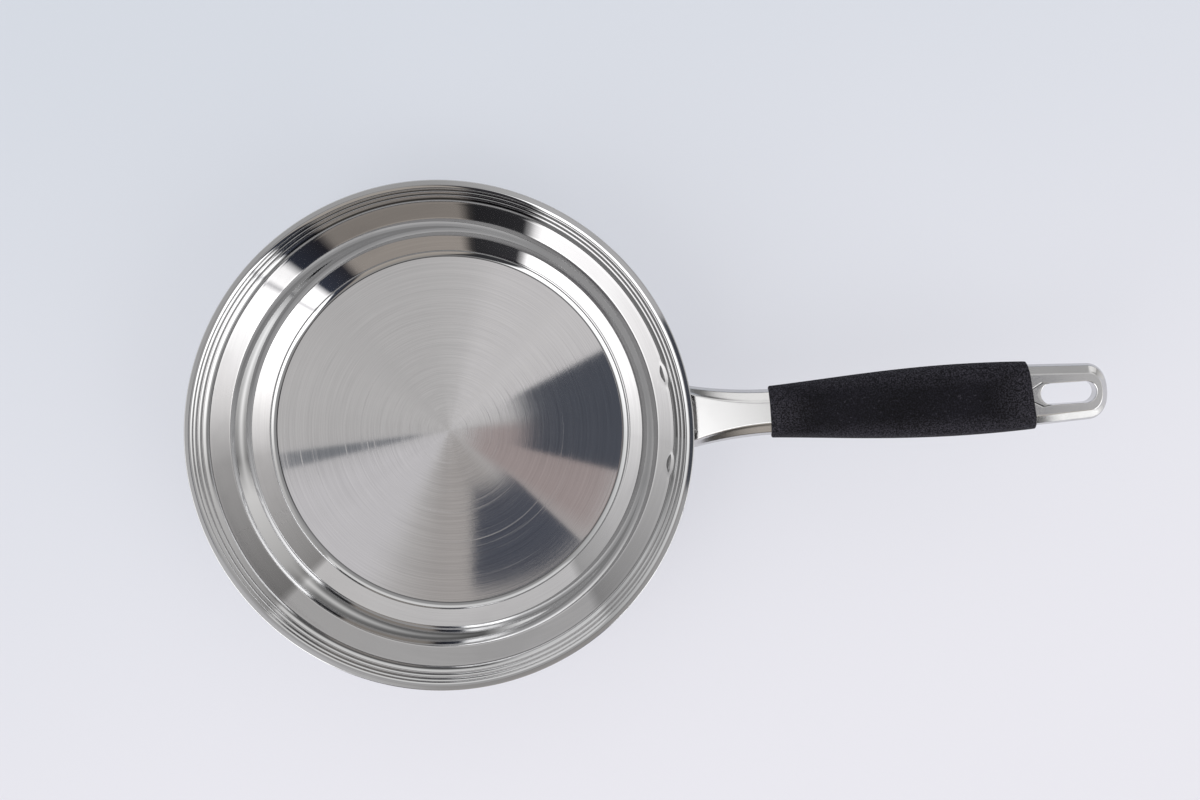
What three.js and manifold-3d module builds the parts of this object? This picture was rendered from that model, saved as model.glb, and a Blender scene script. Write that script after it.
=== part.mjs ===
import * as THREE from "three";
import { mergeVertices } from "three/addons/utils/BufferGeometryUtils.js";
import Module from "manifold-3d";

const wasm = await Module();
wasm.setup();

// A frying pan in millimetres and degrees. The origin is the centre of the underside, +X runs along the
// handle and +Z is up.

// Fits
const FIT = 0.3;

// Base
const CAP_SHEET = 0.6;
const CAP_CORNER = 2.4;
const CORE_THICKNESS = 4.6;
const CORE_INSET = 1.6;

// Bowl
const RIM_RADIUS = 120;
const BOWL_DEPTH = 45;
const FLOOR_RADIUS = 85.7;
const SHEET = 0.8;
const CORNER_RADIUS = 4;
const LEDGE_DIP = 11;
const LEDGE_SAG = 7;
const LEDGE_SHARE = 0.38;
const EDGE_SHARE = 0.2;
const RIDGE_COUNT = 3;
const FIRST_RIDGE = 1.5;
const RIDGE_RADIUS = 5.3;
const RIDGE_BAND = 0.4;
const RIDGE_STEEP = 68;
const RIDGE_SHALLOW = 36;
const CREASE_RADIUS = 0.6;
const FLARE_RADIUS = 2.3;
const LIP_FLAT = 1.2;
const BOWL_SEGMENTS = 64;
const CORNER_STEPS = 4;
const EDGE_STEPS = 2;

// Bracket and its two welds
const BRACKET_SHEET = 1.5;
const BRACKET_ANGLE = 14;
const BRACKET_MARGIN = 0.8;
const WELD_ANGLE = 11.2;
const WELD_HALF_LENGTH = 4.4;
const WELD_HALF_HEIGHT = 2.2;
const WELD_PLACE = 0.78;
const WELD_SEGMENTS = 24;
const TONGUE_SHARE = 0.85;
const TONGUE_HEIGHT = 4.5;
const TONGUE_REACH = 10;

// Handle, with distances along X counted from the rim
const SHELL = 1;
const HANDLE_REACH = 186;
const NECK_DROP = 4.5;
const MOUTH_GAP = 1.5;
const START_SLOPE = 12.5;
const END_SLOPE = 5;
const NECK_HALF_WIDTH = 14.2;
const WAIST_HALF_WIDTH = 10.7;
const TAIL_HALF_WIDTH = 14;
const TIP_HALF_WIDTH = 12.2;
const NECK_FACE = 10.6;
const WAIST_FACE = 5.4;
const TAIL_FACE = 10.1;
const TIP_FACE = 8.3;
const WAIST_AT = 37;
const TAIL_AT = 151;
const SIDE_DROP = 6;
const TAIL_SIDE_DROP = 4.6;
const BELLY_DEPTH = 7;
const TAIL_BELLY_DEPTH = 5;
const TIP_CORNER = 9;
const TIP_PINCH = 0.45;
const ROOT_REACH = 22;

// Shape of the handle's cross section, as shares of its own width and height
const SIDE_LEAN = 0.22;
const SIDE_KNEE = 0.45;
const EDGE_SOFT = 0.12;
const EDGE_FALL = 0.16;
const BELLY_FLAT = 0.62;
const BILGE_WIDTH = 0.6;
const BILGE_HEIGHT = 0.2;
const FLANK_WIDTH = 0.94;
const FLANK_HEIGHT = 0.62;
const LEAST_FLAT = 1;

// Hang slot and its liner
const SLOT_LENGTH = 24;
const SLOT_WIDTH = 9.6;
const SLOT_END = 5.6;
const LINER_SHEET = 1;
const NOTCH_LENGTH = 9;
const NOTCH_WIDTH = 11;
const NOTCH_RUN_IN = 5;
const NOTCH_PEAK = 0.5;

// Sleeve
const SLEEVE_AT = 35.6;
const SLEEVE_LENGTH = 117;
const SLEEVE_SHEET = 1.4;
const SLEEVE_BULGE = 2.1;
const SLEEVE_LIFT = 0.6;
const SLEEVE_EDGE = 0.8;
const SLEEVE_SKEW = 4.8;

// Heights that follow from the sizes above
const FLOOR_UNDERSIDE = CAP_SHEET + CORE_THICKNESS;
const FLOOR_TOP = FLOOR_UNDERSIDE + SHEET;
const RIM_HEIGHT = FLOOR_TOP + BOWL_DEPTH;
const MOUTH_X = RIM_RADIUS + MOUTH_GAP;
const TIP_X = RIM_RADIUS + HANDLE_REACH;
const SLOT_X = TIP_X - SLOT_END - SLOT_LENGTH / 2;
const SLEEVE_START = RIM_RADIUS + SLEEVE_AT;
const WAIST_X = RIM_RADIUS + WAIST_AT;
const TAIL_X = RIM_RADIUS + TAIL_AT;
const CORE_RADIUS = FLOOR_RADIUS - CORE_INSET;
const CAP_INNER_CORNER = CAP_CORNER - CAP_SHEET;

// Fineness of the meshes
const WELD_TOLERANCE = 1e-5;
const CURVE_SEGMENTS = 8;
const NECK_STEPS = 10;
const MIDDLE_STEPS = 8;
const TIP_STEPS = 5;
const SOLVE_ROUNDS = 40;
const UPRIGHT = 89;

const rad = THREE.MathUtils.degToRad;
const mix = THREE.MathUtils.lerp;

// Adds an arc to a profile, whose tangent turns from one angle to another above the horizontal
function bend(profile, radius, from, to, steps) {
  const start = profile[profile.length - 1].clone();
  const side = Math.sign(to - from);
  for (let i = 1; i <= steps; i += 1) {
    const angle = mix(from, to, i / steps);
    const across = radius * side * (Math.sin(rad(angle)) - Math.sin(rad(from)));
    const up = radius * side * (Math.cos(rad(from)) - Math.cos(rad(angle)));
    profile.push(new THREE.Vector2(start.x + across, start.y + up));
  }
}

// Adds a straight line to a profile
function run(profile, across, up) {
  const start = profile[profile.length - 1];
  profile.push(new THREE.Vector2(start.x + across, start.y + up));
}

// Inside of the bowl up to the first ridge for a given steepness: a rounded corner, a straight lower wall, a
// bend over to the gentler ledge, which sags to its middle, a bend back and a straight upper wall
function wallAt(steep, width) {
  const profile = [new THREE.Vector2(0, FLOOR_TOP), new THREE.Vector2(FLOOR_RADIUS, FLOOR_TOP)];
  const gentle = steep - LEDGE_DIP;
  const middle = gentle - LEDGE_SAG;
  const turn = (from, to) => Math.sin(rad(from)) - Math.sin(rad(to));
  bend(profile, CORNER_RADIUS, 0, steep, CORNER_STEPS);
  const room = width - CORNER_RADIUS * Math.sin(rad(steep));
  const edge = EDGE_SHARE * room;
  const ledge = LEDGE_SHARE * room;
  const hollow = ledge / 2 / turn(gentle, middle);
  const straight = (room - ledge) / 2 - edge * turn(steep, gentle);
  run(profile, straight, straight * Math.tan(rad(steep)));
  bend(profile, edge, steep, gentle, EDGE_STEPS);
  bend(profile, hollow, gentle, middle, EDGE_STEPS);
  bend(profile, hollow, middle, gentle, EDGE_STEPS);
  bend(profile, edge, gentle, steep, EDGE_STEPS);
  run(profile, straight, straight * Math.tan(rad(steep)));
  return profile;
}

// The same with the steepness that brings its top to the first ridge
function wallProfile() {
  const head = rimProfile()[0];
  let low = LEDGE_DIP + LEDGE_SAG;
  let high = UPRIGHT;
  for (let i = 0; i < SOLVE_ROUNDS; i += 1) {
    const steep = (low + high) / 2;
    const top = wallAt(steep, head.x - FLOOR_RADIUS).pop().y;
    if (top < head.y) low = steep;
    else high = steep;
  }
  return wallAt(low, head.x - FLOOR_RADIUS);
}

// Inside of the rim from the first ridge to the lip's edge, set so that the lip ends at the rim
function rimProfile() {
  const profile = [new THREE.Vector2(0, 0)];
  const upperRidge = (RIDGE_COUNT - FIRST_RIDGE) / (RIDGE_COUNT - 1);
  for (let i = 0; i < RIDGE_COUNT; i += 1) {
    const size = i === 0 ? FIRST_RIDGE : upperRidge;
    run(profile, (RIDGE_BAND * size) / Math.tan(rad(RIDGE_STEEP)), RIDGE_BAND * size);
    bend(profile, RIDGE_RADIUS * size, RIDGE_STEEP, RIDGE_SHALLOW, 2);
    bend(profile, CREASE_RADIUS, RIDGE_SHALLOW, RIDGE_STEEP, 1);
  }
  bend(profile, FLARE_RADIUS, RIDGE_STEEP, 0, 3);
  run(profile, LIP_FLAT, 0);
  const end = profile[profile.length - 1];
  const shift = new THREE.Vector2(RIM_RADIUS - SHEET - end.x, RIM_HEIGHT - end.y);
  return profile.map((point) => point.clone().add(shift));
}

// The straight upper wall: its foot and head on the inside, and the directions along it and out of it
function upperWall() {
  const [foot, head] = wallProfile().slice(-2);
  const along = head.clone().sub(foot).normalize();
  const outward = new THREE.Vector2(along.y, -along.x);
  return { foot, head, along, outward, length: head.distanceTo(foot) };
}

// The same profile moved outwards by the thickness of a sheet
function offset(profile, distance) {
  return profile.map((point, i) => {
    const before = profile[Math.max(i - 1, 0)];
    const after = profile[Math.min(i + 1, profile.length - 1)];
    const first = point.equals(before) ? after.clone().sub(point) : point.clone().sub(before);
    const second = point.equals(after) ? point.clone().sub(before) : after.clone().sub(point);
    const normalA = new THREE.Vector2(first.y, -first.x).normalize();
    const normalB = new THREE.Vector2(second.y, -second.x).normalize();
    const middle = normalA.clone().add(normalB).normalize();
    return point.clone().addScaledVector(middle, distance / middle.dot(normalA));
  });
}

// Solid of revolution about Z from a profile that runs anticlockwise with the radius to the right
function revolve(profile, segments) {
  return new THREE.LatheGeometry(profile, segments).rotateX(Math.PI / 2);
}

// Closed solid through a row of outlines with the same number of points, each of them convex
function loft(outlines) {
  const count = outlines[0].length;
  const last = (outlines.length - 1) * count;
  const faces = [];
  for (let row = 0; row < last; row += count) {
    for (let i = 0; i < count; i += 1) {
      const next = (i + 1) % count;
      faces.push(row + i, row + next, row + count + i);
      faces.push(row + next, row + count + next, row + count + i);
    }
  }
  for (let i = 1; i + 1 < count; i += 1) {
    faces.push(0, i + 1, i, last, last + i, last + i + 1);
  }
  const geometry = new THREE.BufferGeometry().setFromPoints(outlines.flat());
  geometry.setIndex(faces);
  return geometry;
}

// Manifold solid from a geometry, and the way back
function solid(geometry) {
  const plain = geometry.clone();
  plain.deleteAttribute("normal");
  plain.deleteAttribute("uv");
  const welded = mergeVertices(plain, WELD_TOLERANCE);
  const mesh = new wasm.Mesh({
    numProp: 3,
    vertProperties: new Float32Array(welded.attributes.position.array),
    triVerts: new Uint32Array(welded.index.array),
  });
  return new wasm.Manifold(mesh);
}

function geometryOf(body) {
  const mesh = body.getMesh();
  const geometry = new THREE.BufferGeometry();
  geometry.setAttribute("position", new THREE.BufferAttribute(new Float32Array(mesh.vertProperties), 3));
  geometry.setIndex(new THREE.BufferAttribute(new Uint32Array(mesh.triVerts), 1));
  return geometry;
}

// Materials
function polishedSteel() {
  return new THREE.MeshStandardMaterial({ color: 0xcfd0d2, roughness: 0.12, metalness: 1 });
}

function aluminium() {
  return new THREE.MeshStandardMaterial({ color: 0xb4b6b8, roughness: 0.4, metalness: 1 });
}

function blackSilicone() {
  return new THREE.MeshStandardMaterial({ color: 0x1b1b1e, roughness: 0.75, metalness: 0 });
}

function named(name, geometry, material) {
  const mesh = new THREE.Mesh(geometry, material);
  mesh.name = name;
  return mesh;
}

// Bowl: one sheet from the middle of the floor to the lip
function panBody() {
  const inside = [...wallProfile(), ...rimProfile().slice(1)];
  const outside = offset(inside, SHEET);
  const edge = [inside[inside.length - 1]];
  bend(edge, SHEET, 0, -90, 3);
  const rest = edge.slice(1).reverse();
  const profile = [...outside.slice(0, -1), ...rest, ...inside.reverse()];
  return named("pan_body", revolve(profile, BOWL_SEGMENTS), polishedSteel());
}

// Base: a disc of aluminium and the steel cup that holds it against the floor
function baseCore() {
  const corner = CAP_INNER_CORNER - FIT;
  const profile = [new THREE.Vector2(0, CAP_SHEET), new THREE.Vector2(CORE_RADIUS - corner, CAP_SHEET)];
  bend(profile, corner, 0, 90, 3);
  profile.push(new THREE.Vector2(CORE_RADIUS, FLOOR_UNDERSIDE), new THREE.Vector2(0, FLOOR_UNDERSIDE));
  return named("base_core", revolve(profile, BOWL_SEGMENTS), aluminium());
}

function baseCap() {
  const innerRadius = CORE_RADIUS + FIT;
  const outerRadius = innerRadius + CAP_SHEET;
  const flatEnd = innerRadius - CAP_INNER_CORNER;
  const top = FLOOR_UNDERSIDE - FIT;
  const profile = [new THREE.Vector2(0, 0), new THREE.Vector2(outerRadius - CAP_CORNER, 0)];
  bend(profile, CAP_CORNER, 0, 90, 3);
  profile.push(new THREE.Vector2(outerRadius, top), new THREE.Vector2(innerRadius, top));
  const inner = [new THREE.Vector2(0, CAP_SHEET), new THREE.Vector2(flatEnd, CAP_SHEET)];
  bend(inner, CAP_INNER_CORNER, 0, 90, 3);
  profile.push(...inner.reverse());
  return named("base_cap", revolve(profile, BOWL_SEGMENTS), polishedSteel());
}

// Height and slope of the handle's top at a distance X from the pan's axis: the slope changes evenly
function slopeAt(x) {
  return THREE.MathUtils.mapLinear(x, MOUTH_X, TIP_X, Math.tan(rad(START_SLOPE)), Math.tan(rad(END_SLOPE)));
}

function topHeight(x) {
  const meanSlope = (slopeAt(MOUTH_X) + slopeAt(x)) / 2;
  return RIM_HEIGHT - NECK_DROP + meanSlope * (x - MOUTH_X);
}

// A size along the handle: a widening curve from waist to neck, a smooth rise from waist to tail, then a
// straight run to the tip
function along(x, neck, waist, tail, tip) {
  if (x < WAIST_X) {
    const share = (WAIST_X - x) / WAIST_AT;
    return mix(waist, neck, share * share);
  }
  if (x < TAIL_X) {
    return mix(waist, tail, THREE.MathUtils.smoothstep(x, WAIST_X, TAIL_X));
  }
  return mix(tail, tip, (x - TAIL_X) / (TIP_X - TAIL_X));
}

// Sizes of the handle's cross section, which draws in round the corners of the tip
function section(x) {
  const way = Math.max(x - (TIP_X - TIP_CORNER), 0);
  const round = TIP_CORNER - Math.sqrt(Math.max(TIP_CORNER ** 2 - way ** 2, 0));
  const pinch = 1 - (TIP_PINCH * round) / TIP_CORNER;
  const drop = along(x, SIDE_DROP, SIDE_DROP, TAIL_SIDE_DROP, TAIL_SIDE_DROP);
  return {
    half: along(x, NECK_HALF_WIDTH, WAIST_HALF_WIDTH, TAIL_HALF_WIDTH, TIP_HALF_WIDTH) - round,
    face: along(x, NECK_FACE, WAIST_FACE, TAIL_FACE, TIP_FACE) - round,
    seam: topHeight(x) - drop,
    drop: drop * pinch,
    belly: along(x, BELLY_DEPTH, BELLY_DEPTH, TAIL_BELLY_DEPTH, TAIL_BELLY_DEPTH) * pinch,
  };
}

// Half width of the flat underneath, grown by a distance
function bellyFlat(x, grow) {
  const { half, face } = section(x);
  return Math.max(Math.min(face, half * BELLY_FLAT) + grow / 2, LEAST_FLAT);
}

// Right-hand points of the cross section from the seam up to the top face, grown sideways and upwards
function upperSide(x, grow, lift) {
  const { half, face, seam, drop } = section(x);
  const wide = half + grow;
  const flat = Math.max(face + grow / 2, LEAST_FLAT);
  const top = seam + drop + lift;
  const bevel = wide - flat;
  return [
    [wide, seam],
    [wide - SIDE_LEAN * bevel, mix(seam, top, SIDE_KNEE)],
    [flat + EDGE_SOFT * bevel, top - EDGE_FALL * drop],
    [flat - EDGE_SOFT * bevel, top],
  ];
}

// Right-hand points from the flat underneath up to the seam, grown sideways and downwards
function lowerSide(x, grow, lift) {
  const { half, seam, belly } = section(x);
  const wide = half + grow;
  const flat = bellyFlat(x, grow);
  const bottom = seam - belly - lift;
  return [
    [flat, bottom],
    [mix(flat, wide, BILGE_WIDTH), mix(bottom, seam, BILGE_HEIGHT)],
    [mix(flat, wide, FLANK_WIDTH), mix(bottom, seam, FLANK_HEIGHT)],
    [wide, seam],
  ];
}

// Closed outline across the handle from its right-hand points, which run upwards
function outline(x, side, skew = 0) {
  const mirrored = side.map(([y, z]) => [-y, z]).reverse();
  return [...side, ...mirrored].map(([y, z]) => new THREE.Vector3(x - y * skew, y, z));
}

// Places along the handle at which its cross section is drawn
function stations(end) {
  const root = RIM_RADIUS - ROOT_REACH;
  const list = [];
  for (let i = 0; i < NECK_STEPS; i += 1) list.push(mix(root, WAIST_X, i / NECK_STEPS));
  for (let i = 0; i <= MIDDLE_STEPS; i += 1) list.push(mix(WAIST_X, TAIL_X, i / MIDDLE_STEPS));
  for (let i = 0; i <= TIP_STEPS; i += 1) {
    list.push(mix(TIP_X - TIP_CORNER, end, Math.sin((Math.PI / 2) * (i / TIP_STEPS))));
  }
  return list;
}

// Solid upper and lower halves of the handle, shrunk by the wall where the hollow is wanted
function upperHalf(inset) {
  const cut = inset > 0 ? FIT : 0;
  return solid(loft(stations(TIP_X - inset).map((x) => {
    const side = upperSide(x, -inset, -inset);
    side[0][1] -= cut;
    return outline(x, side);
  })));
}

function lowerHalf(inset) {
  const cut = inset > 0 ? 0 : -FIT;
  return solid(loft(stations(TIP_X - inset).map((x) => {
    const side = lowerSide(x, -inset, -inset);
    side[3][1] += cut;
    return outline(x, side);
  })));
}

// Solid cone whose side runs along the upper wall, moved out from the wall's inside
function wallCone(out) {
  const { foot, along: up, outward } = upperWall();
  const start = foot.clone().addScaledVector(outward, out);
  const lean = up.x / up.y;
  const height = 2 * RIM_HEIGHT;
  const low = start.x - start.y * lean;
  const cone = new THREE.CylinderGeometry(low + height * lean, low, height, 2 * BOWL_SEGMENTS);
  return solid(cone.rotateX(Math.PI / 2).translate(0, 0, height / 2));
}

// Distance from the wall's inside to the middle of the bracket's sheet, and to where the handle may begin
const BRACKET_MIDDLE = SHEET + FIT + BRACKET_SHEET / 2;
const HANDLE_FRONT = SHEET + FIT + BRACKET_SHEET + FIT;

// Stadium outline with its straight sides along X, centred on the slot
function stadium(length, width) {
  const shape = new THREE.Shape();
  const half = (length - width) / 2;
  shape.absarc(half, 0, width / 2, -Math.PI / 2, Math.PI / 2, false);
  shape.absarc(-half, 0, width / 2, Math.PI / 2, (3 * Math.PI) / 2, false);
  return shape;
}

// Pointed notch at the slot's inner end, wider than the slot and running in to its sides
function notch(grow) {
  const left = -SLOT_LENGTH / 2;
  const half = NOTCH_WIDTH / 2 + grow;
  const shape = new THREE.Shape();
  shape.moveTo(left - NOTCH_LENGTH - grow, 0);
  shape.lineTo(left + NOTCH_PEAK, -half);
  shape.lineTo(left + NOTCH_RUN_IN + grow, -SLOT_WIDTH / 2);
  shape.lineTo(left + NOTCH_RUN_IN + grow, SLOT_WIDTH / 2);
  shape.lineTo(left + NOTCH_PEAK, half);
  shape.closePath();
  return shape;
}

// Prism of a shape, square to the handle's top face at the slot, between two heights above that face
function prism(shape, low, high) {
  const options = { depth: high - low, bevelEnabled: false, curveSegments: CURVE_SEGMENTS };
  const geometry = new THREE.ExtrudeGeometry(shape, options);
  geometry.translate(0, 0, low).rotateY(-Math.atan(slopeAt(SLOT_X)));
  geometry.translate(SLOT_X, 0, topHeight(SLOT_X));
  return solid(geometry);
}

const SLOT_REACH = 2 * (SIDE_DROP + BELLY_DEPTH);

function slotCutter() {
  return prism(stadium(SLOT_LENGTH, SLOT_WIDTH), -SLOT_REACH, SLOT_REACH);
}

// Upper shell: the sides run on to the bracket, and the top face stops at the mouth beside the rim
function handleTopShell() {
  const mouthHalf = NECK_FACE - SHELL;
  const block = new THREE.BoxGeometry(RIM_RADIUS, 2 * mouthHalf, 2 * SIDE_DROP);
  block.translate(MOUTH_X - RIM_RADIUS / 2, 0, topHeight(MOUTH_X) + SIDE_DROP / 2);
  const window = prism(notch(0), -SHELL - SIDE_DROP / 2, SIDE_DROP);
  const shell = upperHalf(0).subtract(upperHalf(SHELL)).subtract(wallCone(HANDLE_FRONT));
  const body = shell.subtract(solid(block)).subtract(slotCutter()).subtract(window);
  return named("handle_top_shell", geometryOf(body), polishedSteel());
}

function handleBottomShell() {
  const shell = lowerHalf(0).subtract(lowerHalf(SHELL)).subtract(wallCone(HANDLE_FRONT));
  return named("handle_bottom_shell", geometryOf(shell.subtract(slotCutter())), polishedSteel());
}

// Room left inside the two shells
function hollow() {
  const inset = SHELL + FIT;
  return solid(loft(stations(TIP_X - inset).map((x) => {
    const low = lowerSide(x, -inset, -inset).slice(0, 3);
    const high = upperSide(x, -inset, -inset).slice(1);
    return outline(x, [...low, ...high]);
  })));
}

// Liner: a wall round the slot from shell to shell, with a tongue under the notch of the upper shell
function slotLiner() {
  const wall = prism(stadium(SLOT_LENGTH + 2 * LINER_SHEET, SLOT_WIDTH + 2 * LINER_SHEET), -SLOT_REACH, 0);
  const low = -SHELL - FIT - LINER_SHEET;
  const tongue = prism(notch(LINER_SHEET), low, 0);
  const body = wall.add(tongue).subtract(slotCutter()).intersect(hollow());
  return named("slot_liner", geometryOf(body), polishedSteel());
}

// Tongue of the bracket: a bar on the floor of the hollow neck, from the saddle outwards
function bracketTongue() {
  const inset = SHELL + FIT;
  const places = [upperWall().head.x - ROOT_REACH, MOUTH_X, MOUTH_X + TONGUE_REACH];
  const half = TONGUE_SHARE * Math.min(...places.slice(1).map((x) => bellyFlat(x, -inset)));
  const bar = loft(places.map((x) => {
    const [, bottom] = lowerSide(x, -inset, -inset)[0];
    return outline(x, [[half, bottom], [half, bottom + TONGUE_HEIGHT]]);
  }));
  return solid(bar).subtract(wallCone(BRACKET_MIDDLE));
}

// Piece of the cone shell outside the upper wall, between two angles
function saddle() {
  const { foot, along: up, outward, length } = upperWall();
  const near = SHEET + FIT;
  const corner = (way, out) => foot.clone().addScaledVector(up, way).addScaledVector(outward, out);
  const ends = [BRACKET_MARGIN, length + BRACKET_MARGIN];
  const section = [
    corner(ends[0], near),
    corner(ends[1], near),
    corner(ends[1], near + BRACKET_SHEET),
    corner(ends[0], near + BRACKET_SHEET),
  ];
  const steps = Math.ceil(BRACKET_ANGLE / 2);
  const rows = [];
  for (let i = -steps; i <= steps; i += 1) {
    const angle = rad((BRACKET_ANGLE * i) / steps);
    rows.push(section.map((p) => new THREE.Vector3(p.x * Math.cos(angle), p.x * Math.sin(angle), p.y)));
  }
  return solid(loft(rows));
}

// Oval weld through an ear of the bracket, square to the wall, grown by a distance
function weldGeometry(sign, grow, thickness) {
  const { foot, along: up, outward, length } = upperWall();
  const centre = foot.clone().addScaledVector(up, length * WELD_PLACE);
  centre.addScaledVector(outward, BRACKET_MIDDLE);
  const geometry = new THREE.CylinderGeometry(1, 1, thickness, WELD_SEGMENTS);
  geometry.scale(WELD_HALF_HEIGHT + grow, 1, WELD_HALF_LENGTH + grow);
  geometry.rotateZ(-Math.atan2(outward.x, outward.y));
  geometry.rotateX(Math.PI / 2).translate(centre.x, 0, centre.y);
  return geometry.rotateZ(sign * rad(WELD_ANGLE));
}

function handleBracket() {
  let body = saddle();
  for (const sign of [1, -1]) {
    body = body.subtract(solid(weldGeometry(sign, FIT, 2 * BRACKET_MIDDLE)));
  }
  return named("handle_bracket", geometryOf(body.add(bracketTongue())), polishedSteel());
}

function spotWeld(name, sign) {
  return named(name, weldGeometry(sign, 0, BRACKET_SHEET), polishedSteel());
}

// Sleeve: thickest in the middle, with rounded ends, the far one cut at a slight angle
function sleeveGrowth(x) {
  const share = THREE.MathUtils.clamp((x - SLEEVE_START) / SLEEVE_LENGTH, 0, 1);
  const edge = Math.min(x - SLEEVE_START, SLEEVE_START + SLEEVE_LENGTH - x);
  const gap = 1 - THREE.MathUtils.clamp(edge / SLEEVE_EDGE, 0, 1);
  const round = SLEEVE_EDGE * (1 - Math.sqrt(1 - gap * gap));
  return { bulge: SLEEVE_BULGE * Math.sin(Math.PI * share), round, share };
}

function gripSleeve() {
  const end = SLEEVE_START + SLEEVE_LENGTH;
  const edges = [0, 0.3, 1].map((share) => share * SLEEVE_EDGE);
  const middle = [1, 2, 3, 4, 5, 6, 7].map((i) => SLEEVE_START + (SLEEVE_LENGTH * i) / 8);
  const places = [...edges.map((way) => SLEEVE_START + way), ...middle];
  places.push(...edges.map((way) => end - way).reverse());
  const skin = (x, grow, lift, skew) => {
    const high = upperSide(x, grow, lift).slice(1);
    return outline(x, [...lowerSide(x, grow, lift), ...high], skew);
  };
  const outer = places.map((x) => {
    const { bulge, round, share } = sleeveGrowth(x);
    const grow = SLEEVE_SHEET + bulge - round;
    const lift = SLEEVE_SHEET + SLEEVE_LIFT * bulge - round;
    return skin(x, grow, lift, Math.tan(rad(SLEEVE_SKEW)) * share ** 3);
  });
  const inner = stations(TIP_X).map((x) => skin(x, FIT, FIT, 0));
  const body = solid(loft(outer)).subtract(solid(loft(inner)));
  return named("grip_sleeve", geometryOf(body), blackSilicone());
}

const pan = new THREE.Group();
pan.name = "frying_pan";
pan.add(panBody(), baseCore(), baseCap());
pan.add(handleBracket(), spotWeld("spot_weld_left", 1), spotWeld("spot_weld_right", -1));
pan.add(handleTopShell(), handleBottomShell(), slotLiner(), gripSleeve());

export default pan;
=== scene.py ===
"""Looks of a stainless frying pan, laid out as a Blender add-on.

Lengths are in metres. The origin is the centre of the underside, X runs along the handle and Z is up. The
bowl and the base are turned about Z; the handle's two pressed shells are height fields over X and Y.
"""

import math

import bpy
import numpy as np
from bpy.props import FloatProperty, FloatVectorProperty, IntProperty, PointerProperty
from bpy.types import Operator, Panel, PropertyGroup
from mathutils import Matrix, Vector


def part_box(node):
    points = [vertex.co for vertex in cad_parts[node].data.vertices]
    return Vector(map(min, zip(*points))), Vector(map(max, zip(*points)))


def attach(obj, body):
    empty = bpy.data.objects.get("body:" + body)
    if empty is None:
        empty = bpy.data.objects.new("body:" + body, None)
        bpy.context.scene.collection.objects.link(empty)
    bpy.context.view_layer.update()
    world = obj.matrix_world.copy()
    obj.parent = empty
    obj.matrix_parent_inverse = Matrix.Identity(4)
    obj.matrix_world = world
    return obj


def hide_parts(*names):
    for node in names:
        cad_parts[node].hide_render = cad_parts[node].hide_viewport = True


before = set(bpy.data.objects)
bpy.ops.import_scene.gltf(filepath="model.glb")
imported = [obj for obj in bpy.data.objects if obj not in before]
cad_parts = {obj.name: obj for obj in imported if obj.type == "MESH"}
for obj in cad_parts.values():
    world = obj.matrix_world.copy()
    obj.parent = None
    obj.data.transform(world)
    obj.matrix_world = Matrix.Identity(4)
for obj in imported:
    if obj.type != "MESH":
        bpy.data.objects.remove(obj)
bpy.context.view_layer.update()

bl_info = {
    "name": "Frying pan looks",
    "version": (1, 0, 0),
    "blender": (4, 5, 0),
    "location": "3D View > Sidebar > Frying pan",
    "description": "Builds the visible surfaces of a stainless frying pan round its solid model",
    "category": "Add Mesh",
}

MM = 0.001

# Driving sizes that the solid model gives
BOWL_LOW, BOWL_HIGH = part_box("pan_body")
_, CAP_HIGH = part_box("base_cap")
_, TOP_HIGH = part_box("handle_top_shell")
SLEEVE_LOW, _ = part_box("grip_sleeve")


# Properties

def length(name, description, metres):
    """A length that a user may change."""
    return FloatProperty(
        name=name, description=description, default=metres,
        min=0, precision=5, unit="LENGTH", subtype="DISTANCE",
    )


def angle(name, description, degrees):
    """An angle that a user may change."""
    return FloatProperty(
        name=name, description=description, default=math.radians(degrees), unit="ROTATION", subtype="ANGLE"
    )


def share(name, description, value):
    """A share between nothing and all."""
    return FloatProperty(name=name, description=description, default=value, min=0, max=1, subtype="FACTOR")


def colour(name, description, value):
    """A colour, in linear red, green and blue."""
    return FloatVectorProperty(
        name=name, description=description, default=value, min=0, max=1, size=3, subtype="COLOR"
    )


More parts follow.
